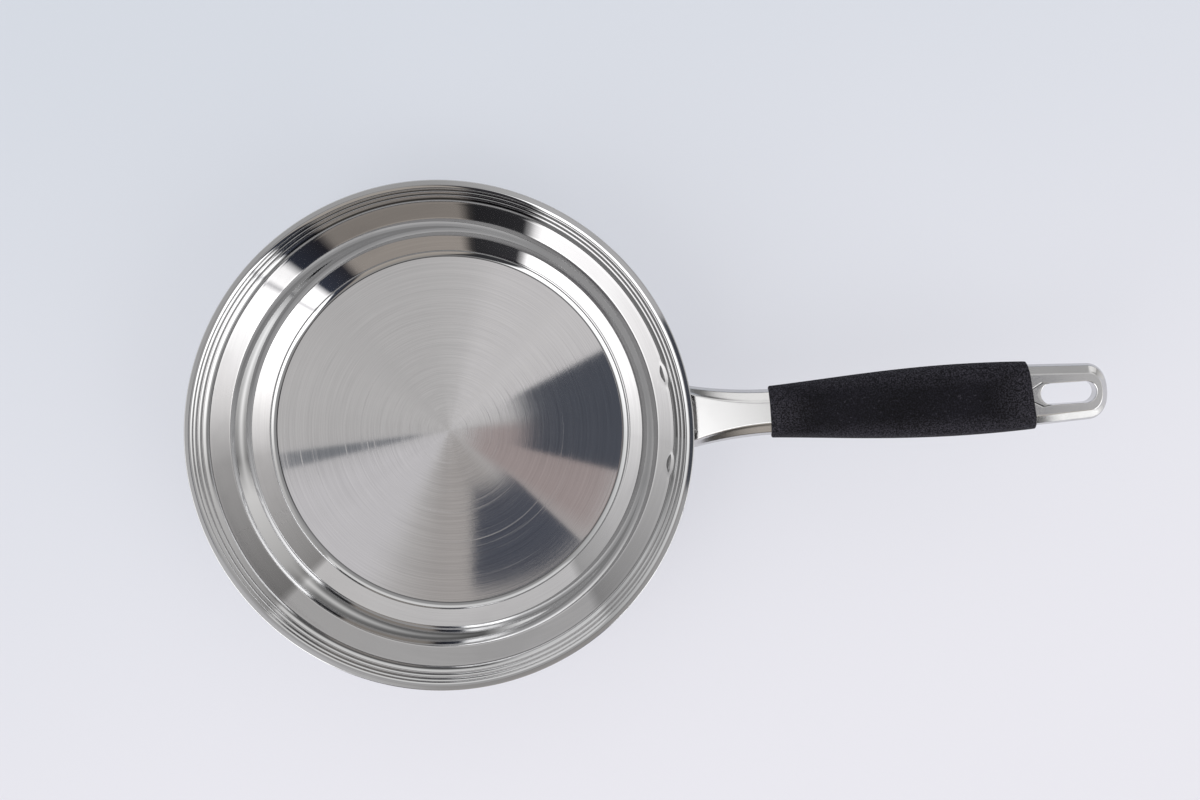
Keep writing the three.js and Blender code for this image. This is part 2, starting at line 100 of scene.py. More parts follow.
class PanBowlSizes(PropertyGroup):
    """Sizes of the bowl's sheet, measured on its inside."""

    rim_radius: length("Rim radius", "Radius of the lip's edge", BOWL_HIGH.x)
    rim_height: length("Rim height", "Height of the lip above the table", BOWL_HIGH.z)
    floor_radius: length("Floor radius", "Radius of the satin floor", 85.7 * MM)
    floor_height: length("Floor height", "Height of the floor above the table", BOWL_LOW.z + 0.8 * MM)
    sheet: length("Sheet", "Thickness of the bowl's steel", 0.8 * MM)
    corner_radius: length("Corner radius", "Bend between floor and wall", 4 * MM)
    # The dark line round the floor is painted shade in the corner between floor and wall
    corner_line: length("Corner line", "Width of the dark line round the floor", 0.6 * MM)
    ledge_dip: angle("Ledge dip", "How much gentler the ledge's edges are than the wall", 11)
    ledge_sag: angle("Ledge sag", "How much gentler the ledge's middle is than its edges", 7)
    ledge_share: share("Ledge width", "Width of the ledge as a share of the wall's", 0.38)
    edge_share: share("Ledge edge", "Radius of the ledge's edges as a share of the wall's width", 0.2)
    ridge_count: IntProperty(name="Ridges", description="Fine ridges under the lip", default=3, min=2, max=6)
    first_ridge: FloatProperty(
        name="First ridge", description="Size of the lowest ridge for each mean one", default=1.5, min=0
    )
    ridge_radius: length("Ridge radius", "Roundness of a ridge", 5.3 * MM)
    ridge_band: length("Ridge band", "Height of the steep band under each ridge", 0.4 * MM)
    ridge_steep: angle("Ridge foot", "Steepness at a ridge's foot", 68)
    ridge_shallow: angle("Ridge top", "Steepness at a ridge's top", 36)
    crease_radius: length("Crease radius", "Bend between two ridges", 0.6 * MM)
    flare_radius: length("Flare radius", "Bend from the last ridge to the lip", 2.3 * MM)
    lip_flat: length("Lip flat", "Width of the level part of the lip", 1.6 * MM)
    weld_angle: angle("Weld angle", "Turn from the handle to each weld mark", 11.2)
    weld_half_length: length("Weld half length", "Half the width of a weld mark", 4.6 * MM)
    weld_half_height: length("Weld half height", "Half the height of a weld mark", 2.4 * MM)
    weld_depth: length("Weld depth", "Depth of a weld mark", 0.55 * MM)


class PanBaseSizes(PropertyGroup):
    """Sizes of the steel cup under the floor."""

    radius: length("Radius", "Outside radius of the cup", CAP_HIGH.x)
    height: length("Height", "Height of the cup's wall", CAP_HIGH.z)
    sheet: length("Sheet", "Thickness of the cup's steel", 0.6 * MM)
    corner: length("Corner", "Outside bend of the cup", 2.4 * MM)
    dish: length("Dish", "Rise of the underside towards the middle", 0.25 * MM)


class PanHandleSizes(PropertyGroup):
    """Sizes of the hollow handle. Distances along X are counted from the pan's axis."""

    sheet: length("Sheet", "Thickness of each shell", 1 * MM)
    mouth: length("Mouth", "Where the top face begins", 121.5 * MM)
    tip: length("Tip", "Where the handle ends", TOP_HIGH.x)
    mouth_height: length("Mouth height", "Height of the top face at the mouth", 46.5 * MM)
    start_slope: angle("Start slope", "Climb of the handle at the mouth", 12.5)
    end_slope: angle("End slope", "Climb of the handle at the tip", 4.7)
    waist: length("Waist", "Where the handle is narrowest", 157 * MM)
    tail: length("Tail", "Where the handle is widest near its end", 271 * MM)
    neck_half: length("Neck half width", "Half the width at the rim", 14.2 * MM)
    waist_half: length("Waist half width", "Half the width at the waist", 10.7 * MM)
    tail_half: length("Tail half width", "Half the width at the tail", 14 * MM)
    tip_half: length("Tip half width", "Half the width just before the round tip", 12.2 * MM)
    neck_face: length("Neck face", "Half the width of the flat top at the rim", 10.6 * MM)
    waist_face: length("Waist face", "Half the width of the flat top at the waist", 5.4 * MM)
    tail_face: length("Tail face", "Half the width of the flat top at the tail", 10.1 * MM)
    tip_face: length("Tip face", "Half the width of the flat top at the tip", 8.3 * MM)
    side_drop: length("Side drop", "Height from seam to top face", 6 * MM)
    tail_drop: length("Tail drop", "Height from seam to top face at the tail", 4.6 * MM)
    belly: length("Belly", "Depth of the lower shell", 7 * MM)
    tail_belly: length("Tail belly", "Depth of the lower shell at the tail", 5 * MM)
    tip_round: length("Tip round", "Length of the rounded end", 9 * MM)
    slot_length: length("Slot length", "Length of the hang slot", 24 * MM)
    slot_width: length("Slot width", "Width of the hang slot", 9.6 * MM)
    slot_end: length("Slot end", "Steel left between slot and tip", 5.6 * MM)
    notch_length: length("Notch length", "Reach of the pointed cut-out before the slot", 9 * MM)
    notch_width: length("Notch width", "Greatest width of the pointed cut-out", 11 * MM)


class PanSleeveSizes(PropertyGroup):
    """Sizes of the silicone sleeve over the handle."""

    start: length("Start", "Where the sleeve begins, from the pan's axis", SLEEVE_LOW.x)
    length: length("Length", "Length of the sleeve along its middle", 117 * MM)
    sheet: length("Sheet", "Thickness at the ends", 1.4 * MM)
    bulge: length("Bulge", "Extra thickness at the sides, half way along", 2.1 * MM)
    lift: length("Lift", "Extra thickness on top, half way along", 1.2 * MM)
    edge: length("Edge", "Roundness of the end lips", 0.8 * MM)
    skew: angle("Skew", "Turn of the far end across the handle", 4.8)


class PanFinishes(PropertyGroup):
    """Colours and polish of the surfaces."""

    floor_steel: colour("Floor steel", "Turned satin floor", (0.625, 0.615, 0.615))
    wall_steel: colour("Wall steel", "Polished wall", (0.625, 0.625, 0.63))
    handle_steel: colour("Handle steel", "Shells of the handle", (0.63, 0.627, 0.627))
    base_steel: colour("Base steel", "Cup under the floor", (0.6, 0.595, 0.59))
    bracket_steel: colour("Bracket steel", "Bracket and welds", (0.55, 0.545, 0.54))
    core_metal: colour("Core metal", "Aluminium disc in the base", (0.7, 0.7, 0.71))
    silicone: colour("Silicone", "Sleeve", (0.0055, 0.0053, 0.0078))
    # Colour of the specks of dust, and also of the painted light that lightens the sleeve's sides and ends
    dust: colour("Dust", "Fine dust on the sleeve", (0.085, 0.081, 0.1))
    satin: share("Satin", "Roughness of the floor", 0.038)
    polish: share("Polish", "Roughness of the wall", 0.05)
    # Painted shade in the wall's colour: the line and the corner round the floor are painted corner shade;
    # the wall above the ledge, the ridges and the lip are painted darker reflections
    line_shade: share("Line shade", "Tone of the line round the floor, as a share of the wall's", 0.2)
    corner_shade: share("Corner shade", "Tone of the floor's corner, as a share of the wall's", 0.58)
    upper_shade: share("Upper shade", "Tone of the wall above the ledge, as a share of the wall's", 0.7)
    ridge_shade: share("Ridge shade", "Tone of the ridges, as a share of the wall's", 0.75)
    lip_shade: share("Lip shade", "Tone of the lip, as a share of the wall's", 0.75)


class PanStudio(PropertyGroup):
    """The table, the soft room of light and the camera."""

    table: colour("Table", "Pale table under the pan", (0.78, 0.775, 0.828))
    table_glow: share("Table glow", "Share of the table's brightness that needs no light", 0.7)
    ceiling: colour("Ceiling", "Light from above", (0.66, 0.655, 0.655))
    camera_height: length("Camera height", "Height of the camera above the table", 826.2 * MM)


GROUPS = {
    "pan_bowl": PanBowlSizes,
    "pan_base": PanBaseSizes,
    "pan_handle": PanHandleSizes,
    "pan_sleeve": PanSleeveSizes,
    "pan_finishes": PanFinishes,
    "pan_studio": PanStudio,
}


# Lines, grids and meshes

# Turn between two points of an arc, and the points of a straight run as shares of its length
STEP_ANGLE = math.radians(9)
RUN_SHARES = (0.04, 0.16, 0.5, 0.84, 0.96, 1.0)

# A softened line's reach and number of points, the last place that is read, and half the points of the bell
FACET_REACH = (-2, 5)
FACET_POINTS = 2801
FACET_END = 3
BELL_POINTS = 200

# Points that lie closer than this are one
JOIN_WITHIN = 0.5e-3 * MM

# Name of the map that holds a distance along the surface
MAP_NAME = "Along"


def arc(at, radius, start, end, step=STEP_ANGLE):
    """Arc of a profile after the row at: its direction turns evenly from one angle to another.

    Each row of a profile holds how far across, how far up, and the direction's angle above the level.
    """
    count = max(2, math.ceil(abs(end - start) / step))
    turn = np.linspace(start, end, count + 1)[1:]
    side = math.copysign(radius, end - start)
    across = at[0] + side * (np.sin(turn) - math.sin(start))
    up = at[1] + side * (math.cos(start) - np.cos(turn))
    return np.column_stack((across, up, turn))


def straight(at, direction, distance, shares=RUN_SHARES):
    """Straight run of a profile after the row at, with points close to both ends so that it shades flat."""
    way = distance * np.array(shares)
    across = at[0] + way * math.cos(direction)
    up = at[1] + way * math.sin(direction)
    return np.column_stack((across, up, np.full(len(way), direction)))


def moved_out(line, distance):
    """A profile moved to its right-hand side, which is the sheet's other face."""
    across = line[:, 0] + distance * np.sin(line[:, 2])
    up = line[:, 1] - distance * np.cos(line[:, 2])
    return np.column_stack((across, up, line[:, 2]))


def distance_along(line):
    """Length of a profile from its start to each row."""
    steps = np.hypot(np.diff(line[:, 0]), np.diff(line[:, 1]))
    return np.concatenate(([0.0], np.cumsum(steps)))


def grid_quads(rows, columns, close_rows=False, close_columns=False):
    """Quads of a grid counted row by row.

    They face the way of the row direction crossed with the column direction.
    """
    row = np.arange(rows if close_rows else rows - 1)
    column = np.arange(columns if close_columns else columns - 1)
    i, j = (grid.ravel() for grid in np.meshgrid(row, column, indexing="ij"))
    below = (i + 1) % rows * columns
    beside = (j + 1) % columns
    return np.column_stack((i * columns + j, below + j, below + beside, i * columns + beside))


def lathe(line, turns, push=0.0):
    """Surface of revolution: each row of the profile is carried round Z through the angles in turns.

    The profile starts and ends on the axis, where one point closes the surface. push moves the points out
    along the profile's right-hand side. Returns points, quads, triangles and the map of both.
    """
    rings = line[1:-1]
    radius = rings[:, :1] + push * np.sin(rings[:, 2:])
    height = rings[:, 1:2] - push * np.cos(rings[:, 2:])
    height = np.broadcast_to(height, (len(rings), len(turns)))
    grid = np.stack((radius * np.cos(turns), radius * np.sin(turns), height), axis=-1)
    poles = np.array([[0.0, 0.0, line[0, 1]], [0.0, 0.0, line[-1, 1]]])
    points = np.vstack((grid.reshape(-1, 3), poles))
    rows, columns = len(rings), len(turns)
    quads = grid_quads(rows, columns, close_columns=True)
    column = np.arange(columns)
    beside = (column + 1) % columns
    first = np.full(columns, rows * columns)
    last_ring = (rows - 1) * columns
    start_fan = np.column_stack((first, column, beside))
    end_fan = np.column_stack((last_ring + column, first + 1, last_ring + beside))
    along = distance_along(line)
    u = np.repeat(along[1:-2], columns)
    u_next = np.repeat(along[2:-1], columns)
    v = np.tile(column / columns, rows - 1)
    v_next = v + 1 / columns
    quad_map = np.stack((u, v, u_next, v, u_next, v_next, u, v_next), axis=-1)
    turn = column / columns
    middle = turn + 0.5 / columns
    after = turn + 1 / columns
    zero = np.zeros(columns)
    ring = np.full(columns, along[1])
    start_map = np.stack((zero, middle, ring, turn, ring, after), axis=-1)
    far = np.full(columns, along[-2])
    pole = np.full(columns, along[-1])
    end_map = np.stack((far, turn, pole, middle, far, after), axis=-1)
    flat_map = np.concatenate((quad_map.ravel(), start_map.ravel(), end_map.ravel()))
    return points, quads, np.vstack((start_fan, end_fan)), flat_map


def soft_facets(corners, softness):
    """A broken line through the corners, averaged over a bell, as a function of the distance across."""
    reach = np.linspace(*FACET_REACH, FACET_POINTS)
    places, heights = np.array(corners).T
    broken = np.sign(reach) * np.interp(np.abs(reach), places, heights)
    spread = np.arange(-BELL_POINTS, BELL_POINTS + 1) * (reach[1] - reach[0])
    bell = np.exp(-0.5 * (spread / softness) ** 2)
    soft = np.convolve(broken, bell / bell.sum(), mode="same")
    return lambda place: np.interp(np.clip(place, 0, FACET_END), reach, soft)


def weld(points, faces):
    """Joins points that lie together. Returns the kept points' numbers and the faces on them."""
    keys = np.round(points / JOIN_WITHIN).astype(np.int64)
    _, kept, number = np.unique(keys, axis=0, return_index=True, return_inverse=True)
    return kept, number.reshape(-1)[faces]


def thicken(outer, inner, faces):
    """Closed sheet from its outer points, the inner point behind each, and the outer faces.

    The inner faces are the outer ones turned round, and each free edge gets a quad between the two sides.
    """
    edges = np.stack((faces, np.roll(faces, -1, axis=1)), axis=-1).reshape(-1, 2)
    _, number, count = np.unique(np.sort(edges, axis=1), axis=0, return_inverse=True, return_counts=True)
    free = edges[count[number.reshape(-1)] == 1]
    shift = len(outer)
    rim = np.column_stack((free[:, 1], free[:, 0], free[:, 0] + shift, free[:, 1] + shift))
    return np.vstack((outer, inner)), np.vstack((faces, faces[:, ::-1] + shift, rim))


def put_piece(name, node, points, faces, materials, loop_map=None, face_materials=None, crisp=40):
    """Makes a smooth mesh object at the origin that stands for a node of the solid model."""
    mesh = bpy.data.meshes.new(name)
    polygons = [face for block in faces for face in block.tolist()]
    mesh.from_pydata(points.tolist(), [], polygons)
    if loop_map is not None:
        layer = mesh.uv_layers.new(name=MAP_NAME)
        layer.data.foreach_set("uv", loop_map)
    for material in materials:
        mesh.materials.append(material)
    if face_materials is not None:
        mesh.polygons.foreach_set("material_index", face_materials)
    mesh.polygons.foreach_set("use_smooth", np.ones(len(polygons), bool))
    mesh.set_sharp_from_angle(angle=math.radians(crisp))
    mesh.update()
    piece = bpy.data.objects.new(name, mesh)
    bpy.context.scene.collection.objects.link(piece)
    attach(piece, "root")
    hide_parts(node)


def dress_node(name, material):
    """Gives a node of the solid model a finished material."""
    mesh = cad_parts[name].data
    mesh.materials.clear()
    mesh.materials.append(material)


def flat_quad(name, corners, material):
    """One flat face of the stage, as an object."""
    mesh = bpy.data.meshes.new(name)
    mesh.from_pydata(corners.tolist(), [], [(0, 1, 2, 3)])
    mesh.materials.append(material)
    quad = bpy.data.objects.new(name, mesh)
    bpy.context.scene.collection.objects.link(quad)
    return quad


# Shader nodes

def put(tree, kind, inputs=None, **settings):
    """Adds a node, sets its settings, and sets or links its inputs."""
    made = tree.nodes.new(kind)
    for key, value in settings.items():
        setattr(made, key, value)
    for key, value in (inputs or {}).items():
        if isinstance(value, bpy.types.NodeSocket):
            tree.links.new(value, made.inputs[key])
        else:
            made.inputs[key].default_value = value
    return made


def maths(tree, operation, first, second=0.0):
    """One sum of two numbers, as a socket."""
    return put(tree, "ShaderNodeMath", {0: first, 1: second}, operation=operation).outputs[0]


def scaled(tree, vector, amount):
    """A vector or a colour times a number, as a socket."""
    return put(tree, "ShaderNodeVectorMath", {0: vector, "Scale": amount}, operation="SCALE").outputs[0]


def towards(tree, x, y, bearing):
    """How far a place lies along a bearing, as a socket."""
    along_x = maths(tree, "MULTIPLY", x, math.cos(bearing))
    along_y = maths(tree, "MULTIPLY", y, math.sin(bearing))
    return maths(tree, "ADD", along_x, along_y)


def blend(tree, amount, first, second):
    """Colour between two colours, as a socket."""
    made = put(tree, "ShaderNodeMix", {0: amount, 6: first, 7: second}, data_type="RGBA")
    return made.outputs[2]


def ranged(tree, value, low, high, to_low, to_high):
    """A number moved smoothly from one range to another, as a socket."""
    inputs = {"Value": value, "From Min": low, "From Max": high, "To Min": to_low, "To Max": to_high}
    made = put(tree, "ShaderNodeMapRange", inputs, interpolation_type="SMOOTHSTEP")
    return made.outputs["Result"]


def noise(tree, vector, scale, detail=2.0, rough=0.5):
    """A noise between nothing and one, as a socket."""
    inputs = {"Vector": vector, "Scale": scale, "Detail": detail, "Roughness": rough}
    return put(tree, "ShaderNodeTexNoise", inputs).outputs["Fac"]


def tone_ramp(tree, place, stops):
    """Colour that runs straight from stop to stop, as a socket.

    Each stop is a place from 0 to 1 and a colour with alpha.
    """
    ramp = put(tree, "ShaderNodeValToRGB", {"Fac": place})
    made = ramp.color_ramp.elements
    made.remove(made[1])
    for number, (position, tone) in enumerate(stops):
        stop = made.new(position) if number else made[0]
        stop.position = position
        stop.color = tone
    return ramp.outputs["Color"]


def mapped_distance(tree):
    """The distance that the piece's own map holds, as a socket."""
    place = put(tree, "ShaderNodeUVMap", uv_map=MAP_NAME).outputs["UV"]
    return put(tree, "ShaderNodeSeparateXYZ", {0: place}).outputs[0]


def rgba(value):
    """A colour with full alpha."""
    return (*value, 1.0)


def shaded(tint, times):
    """A tint made darker or lighter, with full alpha."""
    return rgba(min(1.0, part * times) for part in tint)


def new_group(name, inputs, outputs):
    """Empty shader node group with numbers going in and out. Returns the group, its inputs and its end."""
    group = bpy.data.node_groups.new(name, "ShaderNodeTree")
    for socket, default in inputs.items():
        made = group.interface.new_socket(name=socket, in_out="INPUT", socket_type="NodeSocketFloat")
        made.default_value = default
    for socket in outputs:
        group.interface.new_socket(name=socket, in_out="OUTPUT", socket_type="NodeSocketFloat")
    return group, group.nodes.new("NodeGroupInput").outputs, group.nodes.new("NodeGroupOutput")


def group_once(name, make):
    """The group of that name, made on first use."""
    return bpy.data.node_groups.get(name) or make(name)


def turned_rings(name):
    """Marks of turning: noise that changes fast along the radius and slowly round the axis, and slow fans."""
    group, given, end = new_group(name, {"Pitch": 2500.0, "Reach": 3.0}, ("Rings", "Scratches", "Fans"))
    place = put(group, "ShaderNodeTexCoord").outputs["Object"]
    split = put(group, "ShaderNodeSeparateXYZ", {0: place})
    flat = put(group, "ShaderNodeCombineXYZ", {0: split.outputs[0], 1: split.outputs[1]}).outputs[0]
    radius = put(group, "ShaderNodeVectorMath", {0: flat}, operation="LENGTH").outputs["Value"]
    way = put(group, "ShaderNodeVectorMath", {0: flat}, operation="NORMALIZE").outputs["Vector"]
    turn = scaled(group, way, given["Reach"])
    pitch = maths(group, "MULTIPLY", radius, given["Pitch"])
    lift = put(group, "ShaderNodeCombineXYZ", {2: pitch}).outputs[0]
    rings = put(group, "ShaderNodeVectorMath", {0: turn, 1: lift}, operation="ADD").outputs[0]
    fine = noise(group, rings, 1.0, 3.0, 0.65)
    sparse = noise(group, rings, 0.37, 1.0, 0.4)
    fans = noise(group, way, 1.6, 2.0, 0.6)
    group.links.new(fine, end.inputs["Rings"])
    group.links.new(ranged(group, sparse, 0.66, 0.78, 0.0, 1.0), end.inputs["Scratches"])
    group.links.new(fans, end.inputs["Fans"])
    return group


def polish_haze(name):
    """Marks of use on polish: soft cloudy patches and a slow ripple of the sheet."""
    group, given, end = new_group(name, {"Size": 30.0}, ("Haze", "Ripple", "Fine"))
    place = put(group, "ShaderNodeTexCoord").outputs["Object"]
    cloud = noise(group, place, given["Size"], 3.0, 0.55)
    ripple = noise(group, place, maths(group, "MULTIPLY", given["Size"], 1.7), 1.0, 0.4)
    fine = noise(group, place, maths(group, "MULTIPLY", given["Size"], 60.0), 2.0, 0.6)
    group.links.new(ranged(group, cloud, 0.45, 0.75, 0.0, 1.0), end.inputs["Haze"])
    group.links.new(ripple, end.inputs["Ripple"])
    group.links.new(fine, end.inputs["Fine"])
    return group


def rubber_skin(name):
    """Skin of moulded rubber: fine grain, slow mottling and sparse specks of dust."""
    group, given, end = new_group(name, {"Grain size": 2600.0}, ("Grain", "Mottle", "Dust"))
    place = put(group, "ShaderNodeTexCoord").outputs["Object"]
    grain = noise(group, place, given["Grain size"], 3.0, 0.7)
    mottle = noise(group, place, maths(group, "MULTIPLY", given["Grain size"], 0.02), 3.0, 0.6)
    specks = noise(group, place, maths(group, "MULTIPLY", given["Grain size"], 0.55), 1.0, 0.5)
    patches = ranged(group, mottle, 0.35, 0.75, 0.25, 1.0)
    spots = ranged(group, specks, 0.64, 0.76, 0.0, 1.0)
    group.links.new(grain, end.inputs["Grain"])
    group.links.new(mottle, end.inputs["Mottle"])
    group.links.new(maths(group, "MULTIPLY", spots, patches), end.inputs["Dust"])
    return group


# Materials

def new_material(name, metallic):
    """Empty material with its shader. Returns the material, its tree and the shader."""
    material = bpy.data.materials.new(name)
    material.use_nodes = True
    tree = material.node_tree
    shader = tree.nodes["Principled BSDF"]
    shader.inputs["Metallic"].default_value = metallic
    return material, tree, shader


def use_group(tree, name, make, **values):
    """Places a shared group with its own values."""
    made = tree.nodes.new("ShaderNodeGroup")
    made.node_tree = group_once(name, make)
    for key, value in values.items():
        made.inputs[key.replace("_", " ")].default_value = value
    return made.outputs


def bump_into(tree, shader, height, strength, distance):
    """Lets a height disturb the shader's normal."""
    bump = put(tree, "ShaderNodeBump", {"Strength": strength, "Distance": distance, "Height": height})
    tree.links.new(bump.outputs["Normal"], shader.inputs["Normal"])


def turned_gloss(tree, shader, amount):
    """Spreads the gloss across the marks of turning, by the tangent of the piece's map."""
    shader.inputs["Anisotropic"].default_value = amount
    tangent = put(tree, "ShaderNodeTangent", direction_type="UV_MAP", uv_map=MAP_NAME)
    tree.links.new(tangent.outputs["Tangent"], shader.inputs["Tangent"])


def satin_floor(finish):
    """Turned satin steel: rings make the gloss spread along the radius, with fine and sparse scratches."""
    material, tree, shader = new_material("satin_floor", metallic=1.0)
    rings = use_group(tree, "Turned rings", turned_rings, Pitch=2600.0, Reach=1.4)
    fans = maths(tree, "MULTIPLY", rings["Fans"], 0.5)
    tone = ranged(tree, maths(tree, "ADD", rings["Rings"], fans), 0.45, 1.0, 0.0, 1.0)
    dark, light = shaded(finish.floor_steel, 0.9), shaded(finish.floor_steel, 1.07)
    tree.links.new(blend(tree, tone, dark, light), shader.inputs["Base Color"])
    rough = ranged(tree, rings["Rings"], 0.2, 0.8, finish.satin * 0.85, finish.satin * 1.15)
    marked = maths(tree, "ADD", rough, maths(tree, "MULTIPLY", rings["Scratches"], 0.07))
    tree.links.new(marked, shader.inputs["Roughness"])
    turned_gloss(tree, shader, 0.86)
    bump_into(tree, shader, rings["Rings"], 1.0, 0.0018 * MM)
    return material


# How far the edges of the painted shade line round the floor fade, as a share of its width
LINE_SOFT = 0.2


def mirror_wall(finish, sizes, ledge_end, head, end):
    """Polished steel of the wall, with faint haze, a slow ripple and a tone that changes along the profile.

    The tone along the profile is painted shade in the base colour, while the polish stays the same: a dark
    line and a darkened corner round the floor that brighten up to the wall, and painted darker reflections
    above the ledge, on the ridges and on the lip. The map holds the distance along the profile.
    """
    material, tree, shader = new_material("mirror_wall", metallic=1.0)
    marks = use_group(tree, "Polish haze", polish_haze, Size=26.0)
    corner, line, lip = sizes.floor_radius, sizes.corner_line, end - sizes.lip_flat
    soft = LINE_SOFT * line
    # Painted shade along the profile: the corner line and corner, then darker reflections painted on the
    # upper wall, the ridges and the lip
    shades = (
        (corner - soft, finish.corner_shade),
        (corner + soft, finish.line_shade),
        (corner + line - soft, finish.line_shade),
        (corner + line + soft, finish.corner_shade),
        (corner + sizes.corner_radius, 1.0),
        (ledge_end, 1.0),
        (ledge_end + line, finish.upper_shade),
        (head, finish.upper_shade),
        (head + line, finish.ridge_shade),
        (lip - line, finish.ridge_shade),
        (lip, finish.lip_shade),
        (end, finish.lip_shade),
        (end + sizes.sheet, 1.0),
    )
    whole = end + 2 * sizes.sheet
    stops = [(far / whole, shaded(finish.wall_steel, shade)) for far, shade in shades]
    steel = tone_ramp(tree, maths(tree, "DIVIDE", mapped_distance(tree), whole), stops)
    dim = ranged(tree, marks["Haze"], 0.0, 1.0, 1.0, 0.94)
    tree.links.new(scaled(tree, steel, dim), shader.inputs["Base Color"])
    rough = ranged(tree, marks["Haze"], 0.0, 1.0, finish.polish * 0.8, finish.polish * 1.6)
    tree.links.new(rough, shader.inputs["Roughness"])
    bump_into(tree, shader, marks["Ripple"], 0.1, 0.1 * MM)
    return material


def soft_polish(name, finish):
    """Polish a little softer than the wall's, with fine marks of handling.

    Returns the material, its tree, its shader and its tone.
    """
    material, tree, shader = new_material(name, metallic=1.0)
    marks = use_group(tree, "Polish haze", polish_haze, Size=45.0)
    rough = ranged(tree, marks["Fine"], 0.3, 0.7, 0.13, 0.2)
    hazed = maths(tree, "ADD", rough, maths(tree, "MULTIPLY", marks["Haze"], 0.05))
    tree.links.new(hazed, shader.inputs["Roughness"])
    bump_into(tree, shader, marks["Ripple"], 0.08, 0.1 * MM)
    tone = blend(tree, marks["Haze"], rgba(finish.handle_steel), shaded(finish.handle_steel, 0.92))
    return material, tree, shader, tone


def handle_polish(finish):
    """Polished steel of the handle's shells."""
    material, tree, shader, tone = soft_polish("handle_polish", finish)
    tree.links.new(tone, shader.inputs["Base Color"])
    return material


# Distances from the cut-out's edge between which the painted shadow in the joint under it fades from dark to
# steel
JOINT_SHADE_FULL = 0.45 * MM
JOINT_SHADE_END = 0.9 * MM


def lining_polish(finish):
    """Polished steel of the slot's lining, with painted shadow in the joint under the cut-out's edge.

    The map holds the distance from that edge.
    """
    material, tree, shader, tone = soft_polish("lining_polish", finish)
    off = maths(tree, "ABSOLUTE", mapped_distance(tree))
    # Painted shadow: the gap under the cut-out's edge is darkened in the base colour
    joint_shade = ranged(tree, off, JOINT_SHADE_FULL, JOINT_SHADE_END, 1.0, 0.0)
    dark = shaded(finish.handle_steel, 0.1)
    tree.links.new(blend(tree, joint_shade, tone, dark), shader.inputs["Base Color"])
    return material


def brushed_base(finish):
    """Turned steel of the underside, with coarser rings than the floor."""
    material, tree, shader = new_material("brushed_base", metallic=1.0)
    rings = use_group(tree, "Turned rings", turned_rings, Pitch=1300.0, Reach=3.0)
    tone = ranged(tree, rings["Rings"], 0.25, 0.75, 0.0, 1.0)
    dark, light = shaded(finish.base_steel, 0.8), shaded(finish.base_steel, 1.08)
    tree.links.new(blend(tree, tone, dark, light), shader.inputs["Base Color"])
    rough = ranged(tree, rings["Rings"], 0.2, 0.8, 0.24, 0.36)
    marked = maths(tree, "ADD", rough, maths(tree, "MULTIPLY", rings["Scratches"], 0.1))
    tree.links.new(marked, shader.inputs["Roughness"])
    turned_gloss(tree, shader, 0.7)
    bump_into(tree, shader, rings["Rings"], 0.15, 0.03 * MM)
    return material


def plain_metal(name, tint, rough):
    """Satin metal of the parts that hardly show: cloudy tone and roughness with a fine grain."""
    material, tree, shader = new_material(name, metallic=1.0)
    marks = use_group(tree, "Polish haze", polish_haze, Size=60.0)
    tree.links.new(blend(tree, marks["Haze"], rgba(tint), shaded(tint, 0.82)), shader.inputs["Base Color"])
    grain = ranged(tree, marks["Fine"], 0.3, 0.7, rough * 0.85, rough * 1.2)
    tree.links.new(grain, shader.inputs["Roughness"])
    bump_into(tree, shader, marks["Fine"], 0.1, 0.03 * MM)
    return material


def black_silicone(finish, sizes, half_width):
    """Matt black silicone: mottled tone, fine grain, dust in specks, and a lighter tone towards the ends and
    sides, which is painted light on the sides.
    """
    material, tree, shader = new_material("black_silicone", metallic=0.0)
    skin = use_group(tree, "Rubber skin", rubber_skin, Grain_size=1500.0)
    cloud = ranged(tree, skin["Mottle"], 0.3, 0.7, 0.0, 0.3)
    grain = ranged(tree, skin["Grain"], 0.4, 0.68, 0.0, 1.0)
    speckle = maths(tree, "ADD", cloud, maths(tree, "MULTIPLY", grain, 0.7))
    tone = blend(tree, speckle, shaded(finish.silicone, 0.2), shaded(finish.silicone, 2.2))
    place = put(tree, "ShaderNodeTexCoord").outputs["Object"]
    x, y, _ = put(tree, "ShaderNodeSeparateXYZ", {0: place}).outputs
    middle = sizes.start + sizes.length / 2
    off_middle = maths(tree, "ABSOLUTE", maths(tree, "SUBTRACT", x, middle))
    off_axis = maths(tree, "ABSOLUTE", y)
    # The dust colour is laid on towards the ends and sides: on the sides this is painted light where the
    # flanks catch the light, not dust; the sparse specks are dust
    ends = ranged(tree, off_middle, 0.3 * sizes.length, 0.52 * sizes.length, 0.0, 1.0)
    sides = ranged(tree, off_axis, 0.35 * half_width, 1.05 * half_width, 0.0, 1.0)
    painted_edge_light = maths(tree, "MULTIPLY", maths(tree, "MAXIMUM", ends, sides), maths(tree, "MULTIPLY", grain, 0.5))
    specks = maths(tree, "MULTIPLY", skin["Dust"], 0.35)
    dust_and_painted_light = blend(tree, maths(tree, "MAXIMUM", painted_edge_light, specks), tone, rgba(finish.dust))
    tree.links.new(dust_and_painted_light, shader.inputs["Base Color"])
    tree.links.new(ranged(tree, skin["Mottle"], 0.3, 0.7, 0.56, 0.68), shader.inputs["Roughness"])
    shader.inputs["Sheen Weight"].default_value = 0.02
    shader.inputs["Sheen Roughness"].default_value = 0.4
    shader.inputs["Specular IOR Level"].default_value = 0.08
    bump_into(tree, shader, skin["Grain"], 0.25, 0.05 * MM)
    return material


# How the table is painted darker towards one side, as painted shade where less light falls: the shares of
# red, green and blue
#  that are left there, how much the shade slants with X, and the distances in metres between which it fades
TABLE_DIM = (0.81, 0.86, 0.88)
TABLE_SLANT = 0.2
TABLE_FADE = (-0.27, 0.3)


